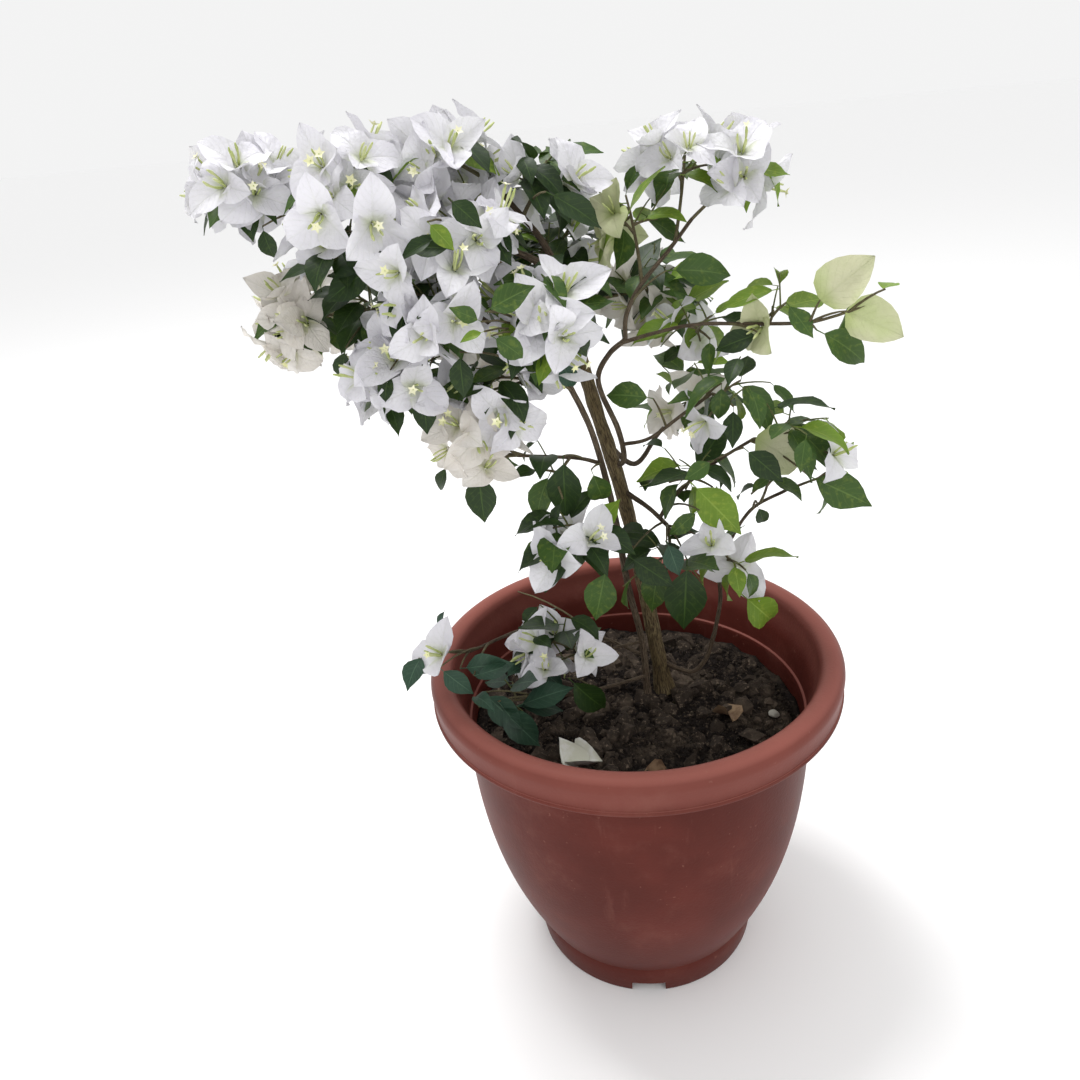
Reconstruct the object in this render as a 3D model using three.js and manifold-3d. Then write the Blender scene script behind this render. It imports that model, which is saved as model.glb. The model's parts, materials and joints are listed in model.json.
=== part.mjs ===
// A white bougainvillea bush in its round pot: pot, soil, stems, boughs, and the sprays of
// leaf and blossom that the boughs carry. Millimetres, +Z up, X across the front, Y to the
// back, with the origin in the middle of the pot's flat underside.

import * as THREE from "three";
import { mergeVertices } from "three/addons/utils/BufferGeometryUtils.js";
import Module from "manifold-3d";

const wasm = await Module();
wasm.setup();

// ---- Driving dimensions ------------------------------------------------------------------

const CLEARANCE = 0.3; // between pieces that meet

const POT = {
  height: 305,
  rimRadius: 175,
  rollWidth: 20.6, // the rolled lip, measured across
  lipHeight: 30, // from the lip's lower edge to its top
  lipSetBack: 1.2, // the lip's side behind its roll and its bead
  lipShoulder: 3, // the slope from the lip's side out to its roll
  beadHeight: 4.5,
  neckRadius: 150, // the body under the lip
  waistRadius: 104.6, // the body where it meets the foot
  bellyPower: 2.84, // how late the body turns in
  footHeight: 31,
  footRadius: 105,
  footBaseRadius: 102,
  footEdge: 3,
  footShoulder: 4, // where the foot starts to round in to the body
  wall: 5.5,
  neckWall: 2.8,
  neckTop: 4, // how far under the lip the neck's inside starts
  ledgeHeight: 250, // a ledge runs round the inside here
  ledgeDepth: 2.7,
  ledgeSlope: 2,
  ledgeThickness: 4,
  floor: 3,
  footSolid: 16, // the thick ring under the wall
  footSolidWidth: 24,
  footCove: 14, // from that ring's top up to the wall's inside
  footCoveWidth: 8,
  floorCove: 2,
  notches: 4,
  notchWidth: 30,
  notchHeight: 12,
  notchDepth: 16,
  sides: 28,
};

const SOIL = {
  level: 233, // at the wall
  crown: 238.7, // at the stems
  crownRadius: 62,
  lump: 3.2,
  lumpsAcross: [0.31, 0.23], // turns of the lumps' waves, radians a millimetre
  rings: 4,
  wallGap: 1.3, // the dry edge, shrunk off the wall
  footGap: 3,
};

const STEM_FOOT = SOIL.crown + CLEARANCE; // the stems are cut flat here
const FOOT_RUN_ON = 3; // what a stem has below that before it is cut
const FLARE_FADE = 30; // how soon a root flare fades along its limb
const ROOM_MARGIN = CLEARANCE * 1.15; // faceted tubes come this much closer at their flats

// A limb runs through its points. One with a parent starts on the parent's middle line, at
// the share `at` of its length, or on from its end where `at` is 1. Radii are at its two ends.
const LIMBS = [
  {
    name: "trunk",
    radii: [6.8, 4.6],
    flare: 3.4,
    sides: 8,
    steps: 10,
    path: [[28, 28, STEM_FOOT], [3, 22, 414], [-25, 12, 541], [-43, 4, 630]],
  },
  {
    name: "left_stem",
    radii: [3.1, 2],
    flare: 1.4,
    sides: 6,
    steps: 12,
    path: [
      [12, 13, STEM_FOOT], [9, 8, 303], [-1, 0, 364], [-9, -4, 434],
      [-22, -6, 501], [-38, -12, 545], [-52, -20, 580],
    ],
  },
  {
    name: "right_stem",
    parent: "trunk",
    at: 0.45,
    radii: [2.3, 1.9],
    steps: 10,
    path: [
      [1, 9, 474], [-3, 3, 502], [-13, 0, 529], [-15, -2, 546], [-6, 2, 560], [6, 8, 568],
    ],
  },
  {
    name: "upper_right_bough",
    parent: "right_stem",
    at: 1,
    radii: [1.9, 1.4],
    path: [[8, 12, 586], [20, 18, 606], [40, 26, 626], [58, 33, 646]],
  },
  {
    name: "right_bough",
    parent: "right_stem",
    at: 0.96,
    radii: [1.5, 1.2],
    path: [[28, 2, 573], [59, -2, 578], [100, -10, 577], [134, -18, 577]],
  },
  {
    name: "middle_right_bough",
    parent: "right_stem",
    at: 0.25,
    radii: [1.5, 1.2],
    path: [[21, -6, 495], [46, -16, 516], [66, -22, 532]],
  },
  {
    name: "low_right_bough",
    parent: "trunk",
    at: 0.4,
    radii: [2.2, 1.7],
    path: [[18, 9, 431], [33, 2, 417]],
  },
  {
    name: "outer_right_bough",
    parent: "low_right_bough",
    at: 0.8,
    radii: [1.6, 1.2],
    path: [[34, -2, 438], [49, -6, 456], [70, -14, 476], [94, -22, 494]],
  },
  {
    name: "side_shoot_foot",
    parent: "trunk",
    at: 0.06,
    radii: [2.2, 2],
    path: [[50, 21, 262], [64, 22, 273], [73, 28, 297]],
  },
  {
    name: "side_shoot",
    parent: "side_shoot_foot",
    at: 1,
    radii: [1.9, 1.3],
    path: [[79, 36, 326], [79, 42, 354], [90, 44, 383], [106, 38, 412], [128, 16, 436]],
  },
  {
    name: "foot_shoot",
    parent: "left_stem",
    at: 0.17,
    radii: [1.6, 1.3],
    path: [[-10, -6, 309], [-27, -18, 312], [-42, -22, 316]],
  },
  {
    name: "pot_shoot",
    parent: "left_stem",
    at: 0.07,
    radii: [1.7, 1.3],
    path: [[-18, -16, 276], [-50, -38, 284], [-78, -50, 290]],
  },
  {
    name: "rim_shoot",
    parent: "left_stem",
    at: 0.13,
    radii: [1.6, 1.3],
    path: [[-35, 16, 308], [-85, 2, 326], [-134, -38, 330]],
  },
  {
    name: "low_left_bough",
    parent: "left_stem",
    at: 0.6,
    radii: [1.6, 1.2],
    path: [[-32, -12, 484], [-56, -22, 491], [-78, -32, 497]],
  },
  {
    name: "left_bough",
    parent: "trunk",
    at: 0.97,
    radii: [2.8, 1.6],
    steps: 9,
    path: [[-72, -4, 640], [-118, -20, 656], [-168, -16, 674], [-212, -8, 688]],
  },
  {
    name: "lower_left_bough",
    parent: "trunk",
    at: 0.9,
    radii: [2.6, 1.5],
    path: [[-76, 4, 602], [-128, 6, 600], [-196, 14, 600]],
  },
  {
    name: "front_left_bough",
    parent: "left_stem",
    at: 0.9,
    radii: [1.8, 1.4],
    path: [[-66, -32, 584], [-82, -44, 596], [-92, -52, 606]],
  },
  {
    name: "top_bough",
    parent: "trunk",
    at: 1,
    radii: [2.6, 1.7],
    path: [[-51, 5, 646], [-64, 3, 664], [-80, 2, 684]],
  },
  {
    name: "back_left_bough",
    parent: "trunk",
    at: 0.86,
    radii: [2.6, 1.5],
    path: [[-64, 36, 608], [-94, 56, 628], [-112, 64, 640]],
  },
  {
    name: "back_bough",
    parent: "trunk",
    at: 0.78,
    radii: [2.4, 1.5],
    path: [[-28, 40, 570], [-27, 60, 590], [-34, 72, 602]],
  },
  {
    name: "back_right_bough",
    parent: "trunk",
    at: 0.5,
    radii: [2.4, 1.5],
    path: [[10, 42, 456], [30, 60, 474], [46, 70, 486]],
  },
];

// A mass of foliage fills its own space: an ellipsoid about `centre` with the half sizes
// `reach`. It grows from its limb at the share `at`, or on from the limb's end where `at`
// is 1, and holds `blooms` twigs that end in a blossom and `shoots` leafy ones.
function mass(name, limb, at, centre, reach, blooms, shoots) {
  return { name, limb, at, centre, reach, blooms, shoots };
}

const MASSES = [
  mass("far_left_blossom", "left_bough", 1, [-252, -6, 697], [42, 42, 31], 5, 1),
  mass("left_blossom", "left_bough", 0.8, [-176, -30, 699], [42, 46, 30], 4, 1),
  mass("left_underside", "left_bough", 0.66, [-182, -30, 652], [42, 44, 28], 3, 2),
  mass("top_blossom", "top_bough", 1, [-114, -6, 705], [42, 44, 28], 4, 1),
  mass("middle_blossom", "left_bough", 0.36, [-98, -46, 664], [44, 48, 34], 4, 1),
  mass("crown_blossom", "top_bough", 0.6, [-46, 12, 682], [40, 42, 34], 3, 1),
  mass("lower_left_tip", "lower_left_bough", 1, [-234, 20, 602], [42, 44, 36], 4, 1),
  mass("lower_left_leaves", "lower_left_bough", 0.84, [-182, -2, 606], [36, 44, 34], 1, 3),
  mass("lower_left_front", "lower_left_bough", 0.6, [-151, -43, 566], [46, 44, 36], 4, 2),
  mass("front_left_blossom", "front_left_bough", 1, [-116, -66, 620], [44, 44, 38], 4, 1),
  mass("front_blossom", "left_stem", 1, [-46, -64, 602], [42, 42, 42], 4, 2),
  mass("front_lower_blossom", "left_stem", 0.88, [-84, -44, 550], [36, 38, 32], 3, 1),
  mass("low_left_blossom", "low_left_bough", 1, [-111, -41, 504], [38, 38, 36], 3, 2),
  mass("low_left_leaves", "low_left_bough", 0.45, [-52, -28, 472], [32, 32, 40], 0, 2),
  mass("upper_right_blossom", "upper_right_bough", 0.82, [54, 45, 684], [38, 40, 30], 3, 1),
  mass("upper_right_tip", "upper_right_bough", 1, [96, 36, 676], [36, 36, 31], 3, 1),
  mass("upper_right_inner", "upper_right_bough", 0.5, [14, 30, 652], [44, 42, 36], 2, 2),
  mass("right_inner", "right_bough", 0.5, [60, 28, 566], [46, 42, 30], 2, 2),
  mass("right_leaves", "right_bough", 0.8, [112, 2, 582], [36, 36, 26], 1, 2),
  mass("right_tip", "right_bough", 1, [172, -20, 588], [38, 34, 38], 2, 1),
  mass("middle_right", "middle_right_bough", 1, [74, -21, 526], [44, 40, 32], 1, 4),
  mass("outer_right", "outer_right_bough", 1, [121, -29, 501], [44, 42, 36], 2, 3),
  mass("heart_right", "outer_right_bough", 0.5, [52, -20, 466], [44, 42, 36], 0, 5),
  mass("side_leaves", "side_shoot", 0.85, [110, -6, 454], [40, 38, 32], 0, 3),
  mass("side_tip", "side_shoot", 1, [158, -16, 462], [34, 32, 34], 1, 2),
  mass("foot_blossom", "left_stem", 0.5, [-42, -46, 430], [44, 40, 32], 4, 1),
  mass("foot_leaves", "low_right_bough", 1, [30, -26, 394], [44, 40, 42], 1, 4),
  mass("side_foot_leaves", "side_shoot", 0.45, [86, 4, 380], [40, 40, 42], 1, 2),
  mass("pot_leaves", "pot_shoot", 1, [-106, -58, 294], [46, 44, 36], 0, 3),
  mass("pot_blossom", "foot_shoot", 1, [-64, -20, 326], [38, 36, 34], 3, 1),
  mass("rim_blossom", "rim_shoot", 1, [-160, -56, 345], [36, 34, 30], 1, 1),
  mass("back_left_blossom", "back_left_bough", 1, [-150, 74, 652], [52, 44, 42], 5, 1),
  mass("back_blossom", "back_bough", 1, [-52, 92, 628], [48, 42, 44], 4, 2),
  mass("back_underside", "back_left_bough", 0.35, [-112, 58, 566], [48, 44, 44], 3, 2),
  mass("back_right_blossom", "back_bough", 0.6, [32, 92, 586], [46, 42, 42], 3, 2),
  mass("back_right_leaves", "back_right_bough", 1, [62, 86, 496], [48, 42, 42], 2, 2),
];

const SPRAY = {
  seed: 101,
  overrun: 1.35, // how far past its reach a mass may put a tip
  soilGap: 3,
  rimGap: 1.5,
  wallGap: 3,
  stemRadii: [2.4, 1.8],
  stemSteps: 2,
  stemBend: 0.45, // where the stem bends, as a share of its way
  stemLean: 0.18, // how far it keeps the limb's heading there, from the limb's end
  sideStemLean: 0.06, // and from its side
  stemRunOn: 0.12, // past the middle of the mass
  twigsFrom: 0.5, // the stretch of the stem that bears twigs
  twigsTo: 0.96,
  twigRadii: [0.85, 0.6],
  bloomReach: 0.46, // how far out a blossom twig ends, as a share of the mass's reach
  shootReach: 0.45,
  reachSpread: [0.85, 1.15],
  shootLeaves: [0.5, 0.98], // where along their twig the leaves sit
  bloomLeaves: [0.7],
  leafTurn: 2.2, // radians from one leaf of a twig to the next
  leafLength: 45,
  lengthSpread: [0.8, 1.1],
  leafWidth: 0.56, // of its length, as is its thickness
  leafThickness: 0.024,
  leafAhead: 0.55, // how far a leaf points along its twig, off it and down
  leafAside: 0.85,
  leafDroop: 0.22,
  leafMargin: 0.02, // of its length, kept free round a leaf
  bloomMargin: 0.5,
  woodMargin: 0.6, // kept free round stems and twigs, which are three-sided
  bractLength: 31,
  bractThickness: 0.9, // half of it, at the blossom's middle
  bractOpening: 0.98, // radians between a bract and the blossom's axis
  tipCurl: 0.12,
  shoulderTurn: 0.72, // radians from a bract's middle to its shoulders
  shoulderReach: 0.62, // of the bract's length
  bloomLift: 0.25, // how far a blossom turns up from its twig
  bloomTilt: 0.16, // and how much further to the side on each try
  tries: 14, // turns tried before a leaf or blossom is left out
};

// The corners of a leaf, as shares of its length.
const BLADE = { widest: 0.42, thickest: 0.4, cup: 0.06, tipDrop: 0.05 };

const GOLDEN_ANGLE = Math.PI * (3 - Math.sqrt(5));
const UP = new THREE.Vector3(0, 0, 1);

// ---- Finishes ----------------------------------------------------------------------------

function finish(color, roughness) {
  return new THREE.MeshStandardMaterial({ color, roughness, metalness: 0, flatShading: true });
}

const FINISHES = {
  pot: finish(0x6b3a34, 0.5),
  soil: finish(0x2b221e, 0.95),
  trunk: finish(0x8a7350, 0.8),
  bough: finish(0x4a3c30, 0.8),
  blossom: finish(0xe9e7ea, 0.7),
  leaf: finish(0x3f5f2c, 0.55),
};

// ---- Solids ------------------------------------------------------------------------------

function solidFrom(geometry) {
  const bare = geometry.clone();
  bare.deleteAttribute("normal");
  bare.deleteAttribute("uv");
  const merged = mergeVertices(bare, 1e-4);
  return new wasm.Manifold(
    new wasm.Mesh({
      numProp: 3,
      vertProperties: new Float32Array(merged.attributes.position.array),
      triVerts: new Uint32Array(merged.index.array),
    }),
  );
}

function geometryFrom(solid) {
  const mesh = solid.getMesh();
  const geometry = new THREE.BufferGeometry();
  geometry.setAttribute("position", new THREE.BufferAttribute(mesh.vertProperties, 3));
  geometry.setIndex(new THREE.BufferAttribute(mesh.triVerts, 1));
  geometry.computeVertexNormals();
  return geometry;
}

// A solid with its box, so that far ones are told apart without a cut, and its mass if any.
function boxed(owner, geometry) {
  geometry.computeBoundingBox();
  return { owner, box: geometry.boundingBox, solid: solidFrom(geometry) };
}

function meets(one, other) {
  return one.box.intersectsBox(other.box) && !one.solid.intersect(other.solid).isEmpty();
}

// The largest of the bodies that a cut leaves.
function mainBody(solid) {
  const bodies = solid.decompose();
  return bodies.reduce((best, body) => (body.volume() > best.volume() ? body : best));
}

function vector(point) {
  return new THREE.Vector3(...point);
}

// Random numbers from 0 to 1 that are the same for the same seed.
function seeded(seed) {
  let state = seed >>> 0;
  return () => {
    state = (state + 0x6d2b79f5) >>> 0;
    let mixed = Math.imul(state ^ (state >>> 15), state | 1);
    mixed ^= mixed + Math.imul(mixed ^ (mixed >>> 7), mixed | 61);
    return ((mixed ^ (mixed >>> 14)) >>> 0) / 4294967296;
  };
}

// ---- Pot and soil ------------------------------------------------------------------------

function potWallRadius(height) {
  const top = POT.height - POT.lipHeight;
  const drop = THREE.MathUtils.clamp((top - height) / (top - POT.footHeight), 0, 1);
  return POT.neckRadius - (POT.neckRadius - POT.waistRadius) * drop ** POT.bellyPower;
}

function potProfile() {
  const profile = new THREE.Path();
  const underLip = POT.height - POT.lipHeight;
  const rollRadius = POT.rollWidth / 2;
  const rollCentre = POT.height - rollRadius;
  const lipSide = POT.rimRadius - POT.lipSetBack;
  const ringInside = POT.footRadius - POT.footSolidWidth;
  const bodySteps = 5;
  profile.moveTo(0, 0);
  profile.lineTo(POT.footBaseRadius - POT.footEdge, 0);
  profile.lineTo(POT.footBaseRadius, POT.footEdge);
  profile.lineTo(POT.footRadius, POT.footHeight - POT.footShoulder);
  for (let i = 0; i <= bodySteps; i++) {
    const height = POT.footHeight + ((underLip - POT.footHeight) * i) / bodySteps;
    profile.lineTo(potWallRadius(height), height);
  }
  profile.lineTo(lipSide, underLip);
  profile.lineTo(POT.rimRadius, underLip + POT.beadHeight / 2);
  profile.lineTo(lipSide, underLip + POT.beadHeight);
  profile.lineTo(lipSide, rollCentre - POT.lipShoulder);
  profile.absarc(POT.rimRadius - rollRadius, rollCentre, rollRadius, 0, Math.PI, false);
  const neckInside = POT.neckRadius - POT.neckWall;
  profile.lineTo(neckInside, underLip - POT.neckTop);
  profile.lineTo(neckInside, POT.ledgeHeight + POT.ledgeSlope);
  profile.lineTo(neckInside - POT.ledgeDepth, POT.ledgeHeight);
  const wallSteps = 4;
  const wallTop = POT.ledgeHeight - POT.ledgeThickness;
  const wallFoot = POT.footSolid + POT.footCove;
  for (let i = 0; i <= wallSteps; i++) {
    const height = wallTop + ((wallFoot - wallTop) * i) / wallSteps;
    profile.lineTo(potWallRadius(height) - POT.wall, height);
  }
  profile.lineTo(ringInside + POT.footCoveWidth, POT.footSolid);
  profile.lineTo(ringInside, POT.footSolid);
  profile.lineTo(ringInside - POT.floorCove, POT.floor);
  profile.lineTo(0, POT.floor);
  return profile.getPoints(3);
}

function lathe(points, sides) {
  const geometry = new THREE.LatheGeometry(points, sides);
  geometry.rotateX(Math.PI / 2);
  return geometry;
}

function makePot() {
  let pot = solidFrom(lathe(potProfile(), POT.sides));
  for (let i = 0; i < POT.notches; i++) {
    const notch = new THREE.BoxGeometry(POT.notchWidth, POT.notchDepth * 2, POT.notchHeight * 2);
    notch.translate(0, -POT.footBaseRadius, 0);
    notch.rotateZ((i * 2 * Math.PI) / POT.notches);
    pot = pot.subtract(solidFrom(notch));
  }
  return pot;
}

// The soil's top at a distance from the middle, before its lumps.
function soilHeight(radius) {
  const slope = THREE.MathUtils.smoothstep(radius, SOIL.crownRadius, POT.neckRadius);
  return SOIL.crown + (SOIL.level - SOIL.crown) * slope;
}

function makeSoil() {
  const wallAt = (height) => potWallRadius(height) - POT.wall - SOIL.wallGap;
  const inFoot = POT.footRadius - POT.footSolidWidth - SOIL.footGap;
  const points = [
    new THREE.Vector2(0, POT.floor + CLEARANCE),
    new THREE.Vector2(inFoot, POT.floor + CLEARANCE),
    new THREE.Vector2(inFoot, POT.footSolid + 1),
    new THREE.Vector2(inFoot + POT.footCoveWidth + 1, POT.footSolid + 2),
  ];
  const wallSteps = 3;
  const wallFoot = POT.footSolid + POT.footCove + 2;
  for (let i = 0; i <= wallSteps; i++) {
    const height = wallFoot + ((SOIL.level - wallFoot) * i) / wallSteps;
    points.push(new THREE.Vector2(wallAt(height), height));
  }
  const edge = wallAt(SOIL.level);
  for (let i = SOIL.rings; i >= 1; i--) {
    const radius = (edge * (i - 0.3)) / SOIL.rings;
    points.push(new THREE.Vector2(radius, soilHeight(radius)));
  }
  points.push(new THREE.Vector2(0, SOIL.crown));
  const soil = lathe(points, POT.sides);
  const position = soil.attributes.position;
  for (let i = 0; i < position.count; i++) {
    const x = position.getX(i);
    const y = position.getY(i);
    const z = position.getZ(i);
    const radius = Math.hypot(x, y);
    const onTop = z > SOIL.level + 0.2 && radius > SOIL.crownRadius && radius < edge - 4;
    const wave = Math.sin(x * SOIL.lumpsAcross[0]) * Math.cos(y * SOIL.lumpsAcross[1]);
    if (onTop) position.setZ(i, z - (SOIL.lump * (1 + wave)) / 2);
  }
  return solidFrom(soil);
}

// ---- Limbs -------------------------------------------------------------------------------

function limbCurve(limb, limbs) {
  const points = limb.path.map(vector);
  if (limb.parent) {
    const parent = limbs.get(limb.parent);
    const start = parent.curve.getPoint(limb.at);
    if (limb.at === 1) start.addScaledVector(parent.curve.getTangent(1), CLEARANCE);
    points.unshift(start);
  }
  return new THREE.CatmullRomCurve3(points, false, "catmullrom", 0.5);
}

function limbRadius(limb, share) {
  const taper = THREE.MathUtils.lerp(limb.radii[0], limb.radii[1], share);
  return taper + (limb.flare ?? 0) * Math.exp(-share * FLARE_FADE);
}

// A closed tube along a curve, made from a cylinder whose rings are set on the curve.
// Its ends can run on a little past the curve's.
function taperedTube(curve, radiusAt, sides, steps, runOn = [0, 0]) {
  const geometry = new THREE.CylinderGeometry(1, 1, 1, sides, steps);
  const frames = curve.computeFrenetFrames(steps, false);
  const position = geometry.attributes.position;
  for (let i = 0; i < position.count; i++) {
    const share = position.getY(i) + 0.5;
    const ring = Math.round(share * steps);
    const radius = radiusAt(share);
    const point = curve
      .getPoint(share)
      .addScaledVector(frames.normals[ring], position.getX(i) * radius)
      .addScaledVector(frames.binormals[ring], -position.getZ(i) * radius);
    if (ring === 0) point.addScaledVector(frames.tangents[0], -runOn[0]);
    if (ring === steps) point.addScaledVector(frames.tangents[steps], runOn[1]);
    position.setXYZ(i, point.x, point.y, point.z);
  }
  return geometry;
}

// The limb's shape, or with a margin the room that other pieces must leave round it.
function limbGeometry(limb, curve, margin, runOn) {
  const sides = limb.sides ?? 5;
  const steps = limb.steps ?? 2 * limb.path.length - 1;
  const radiusAt = (share) => limbRadius(limb, share) + margin;
  return taperedTube(curve, radiusAt, sides, steps, runOn);
}

// A stem that stands in the soil is cut flat at the soil's level.
function cutAtSoil(solid) {
  const depth = STEM_FOOT;
  const ground = new THREE.BoxGeometry(2 * POT.rimRadius, 2 * POT.rimRadius, depth);
  ground.translate(0, 0, STEM_FOOT - depth / 2);
  return solid.subtract(solidFrom(ground));
}

function growLimbs() {
  const limbs = new Map();
  for (const limb of LIMBS) {
    const curve = limbCurve(limb, limbs);
    let solid = limb.parent
      ? solidFrom(limbGeometry(limb, curve, 0, [0, 0]))
      : cutAtSoil(solidFrom(limbGeometry(limb, curve, 0, [FOOT_RUN_ON, 0])));
    for (const { room } of limbs.values()) {
      solid = solid.subtract(room.solid);
    }
    const room = boxed(null, limbGeometry(limb, curve, ROOM_MARGIN, [0, ROOM_MARGIN]));
    limbs.set(limb.name, { curve, room, solid: mainBody(solid) });
  }
  return limbs;
}

// ---- Leaves and blossoms -----------------------------------------------------------------

// Two directions square to each other and to `along`.
function sideways(along) {
  const helper = Math.abs(along.z) < 0.9 ? UP : new THREE.Vector3(1, 0, 0);
  const first = new THREE.Vector3().crossVectors(along, helper).normalize();
  return [first, new THREE.Vector3().crossVectors(along, first)];
}

function turned(along, angle) {
  const [first, second] = sideways(along);
  return first.multiplyScalar(Math.cos(angle)).addScaledVector(second, Math.sin(angle));
}

// A leaf or bract of eight faces: root, tip, two side corners and a fold along the middle.
// It lies along `along`, its upper side faces `face`.
function bladePoints(root, along, face, length, width, thickness) {
  const across = new THREE.Vector3().crossVectors(along, face).normalize();
  const top = new THREE.Vector3().crossVectors(across, along).normalize();
  const place = (forward, side, lift) =>
    root
      .clone()
      .addScaledVector(along, forward * length)
      .addScaledVector(across, side * length)
      .addScaledVector(top, lift * length);
  return {
    left: place(BLADE.widest, -width / 2, BLADE.cup),
    right: place(BLADE.widest, width / 2, BLADE.cup),
    tip: place(1, 0, -BLADE.tipDrop),
    root: place(0, 0, 0),
    over: place(BLADE.thickest, 0, thickness / 2),
    under: place(BLADE.thickest, 0, -thickness / 2),
  };
}

function bladeGeometry(points) {
  const geometry = new THREE.OctahedronGeometry(1);
  const position = geometry.attributes.position;
  for (let i = 0; i < position.count; i++) {
    let corner = points.left;
    if (position.getX(i) > 0.5) corner = points.right;
    if (position.getY(i) > 0.5) corner = points.tip;
    if (position.getY(i) < -0.5) corner = points.root;
    if (position.getZ(i) > 0.5) corner = points.over;
    if (position.getZ(i) < -0.5) corner = points.under;
    position.setXYZ(i, corner.x, corner.y, corner.z);
  }
  return geometry;
}

// A blossom: three bracts round one axis, opened from a middle that stands on the twig.
// Each bract has a tip and two shoulders, so the rim has nine points.
function blossomPoints(root, axis, turn, margin) {
  const rim = [];
  for (let k = 0; k < 3; k++) {
    for (const step of [-1, 0, 1]) {
      const side = turned(axis, turn + (k * 2 * Math.PI) / 3 + step * SPRAY.shoulderTurn);
      const out = step === 0 ? 1 : SPRAY.shoulderReach;
      const opening = step === 0 ? SPRAY.bractOpening + SPRAY.tipCurl : SPRAY.bractOpening;
      rim.push(
        root
          .clone()
          .addScaledVector(axis, Math.cos(opening) * out * SPRAY.bractLength)
          .addScaledVector(side, Math.sin(opening) * out * SPRAY.bractLength),
      );
    }
  }
  return {
    rim,
    over: root.clone().addScaledVector(axis, SPRAY.bractThickness + margin),
    under: root.clone().addScaledVector(axis, -SPRAY.bractThickness - margin),
  };
}

function blossomGeometry(points) {
  const profile = [new THREE.Vector2(0, -1), new THREE.Vector2(1, 0), new THREE.Vector2(0, 1)];
  const geometry = lathe(profile, points.rim.length);
  const position = geometry.attributes.position;
  for (let i = 0; i < position.count; i++) {
    const height = position.getZ(i);
    const angle = Math.atan2(position.getY(i), position.getX(i));
    const corner = Math.round((angle * points.rim.length) / (2 * Math.PI)) + points.rim.length;
    let place = points.rim[corner % points.rim.length];
    if (height > 0.5) place = points.over;
    if (height < -0.5) place = points.under;
    position.setXYZ(i, place.x, place.y, place.z);
  }
  return geometry;
}

// ---- Masses of foliage -------------------------------------------------------------------

// The stem runs from the limb to just past the middle of the mass.
function massStem(mass, limbs) {
  const { curve } = limbs.get(mass.limb);
  const start = curve.getPoint(mass.at);
  const heading = curve.getTangent(mass.at);
  if (mass.at === 1) start.addScaledVector(heading, CLEARANCE);
  const centre = vector(mass.centre);
  const way = centre.clone().sub(start);
  const lean = mass.at === 1 ? SPRAY.stemLean : SPRAY.sideStemLean;
  const middle = start
    .clone()
    .addScaledVector(way, SPRAY.stemBend)
    .addScaledVector(heading, way.length() * lean);
  const end = centre.addScaledVector(way, SPRAY.stemRunOn);
  return new THREE.QuadraticBezierCurve3(start, middle, end);
}

// What a mass is to grow, with every seeded number drawn in a fixed order: twigs that end
// evenly round it, the blossom at a twig's end, and the leaves along it.
function planMass(mass, index, limbs) {
  const random = seeded(SPRAY.seed + index);
  const between = ([low, high]) => THREE.MathUtils.lerp(low, high, random());
  const stem = massStem(mass, limbs);
  const count = mass.blooms + mass.shoots;
  const turnOfAll = random() * 2 * Math.PI;
  const twigs = [];
  for (let i = 0; i < count; i++) {
    const height = 1 - (2 * (i + 0.5)) / count;
    const ring = Math.sqrt(1 - height * height);
    const angle = turnOfAll + i * GOLDEN_ANGLE;
    const out = new THREE.Vector3(ring * Math.cos(angle), ring * Math.sin(angle), height);
    // Blossoms and leafy shoots take turns down the mass, as far as there are both.
    const bloomsBy = (twig) => Math.floor((twig * mass.blooms) / count);
    const blossoms = bloomsBy(i + 1) > bloomsBy(i);
    const share = (blossoms ? SPRAY.bloomReach : SPRAY.shootReach) * between(SPRAY.reachSpread);
    const place = (i + 0.5) / count;
    const start = stem.getPoint(THREE.MathUtils.lerp(SPRAY.twigsFrom, SPRAY.twigsTo, place));
    const end = vector(mass.centre).add(
      out.clone().multiply(vector(mass.reach)).multiplyScalar(share),
    );
    const turn = random() * 2 * Math.PI;
    const leaves = (blossoms ? SPRAY.bloomLeaves : SPRAY.shootLeaves).map((share, k) => ({
      share,
      turn: turn + 1 + k * SPRAY.leafTurn,
      length: SPRAY.leafLength * between(SPRAY.lengthSpread),
    }));
    twigs.push({ blossoms, out, curve: new THREE.LineCurve3(start, end), turn, leaves });
  }
  return { mass, stem, twigs };
}

// What has grown so far, and the tests that a twig, leaf or blossom passes before it is kept.
class Crown {
  constructor(limbs) {
    this.wood = [...limbs.values()].map(({ room }) => room);
    this.blades = [];
  }

  inReach(point, mass) {
    const [x, y, z] = mass.reach;
    const offset = point.clone().sub(vector(mass.centre));
    return Math.hypot(offset.x / x, offset.y / y, offset.z / z) <= SPRAY.overrun;
  }

  clearOfPot(point) {
    const radius = Math.hypot(point.x, point.y);
    const rollCentre = POT.height - POT.rollWidth / 2;
    const roll = Math.hypot(radius - (POT.rimRadius - POT.rollWidth / 2), point.z - rollCentre);
    const inside = POT.neckRadius - POT.neckWall - POT.ledgeDepth - SPRAY.wallGap;
    if (point.z < SOIL.crown + SPRAY.soilGap) return false;
    if (roll < POT.rollWidth / 2 + SPRAY.rimGap) return false;
    return point.z > POT.height || radius < inside;
  }

  fits(points, mass) {
    return points.every((point) => this.inReach(point, mass) && this.clearOfPot(point));
  }

  // A piece may touch the wood of its own mass, which it is fused to, and nothing else.
  isFree(piece) {
    return (
      this.blades.every((other) => !meets(piece, other)) &&
      this.wood.every((other) => other.owner === piece.owner || !meets(piece, other))
    );
  }
}

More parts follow.
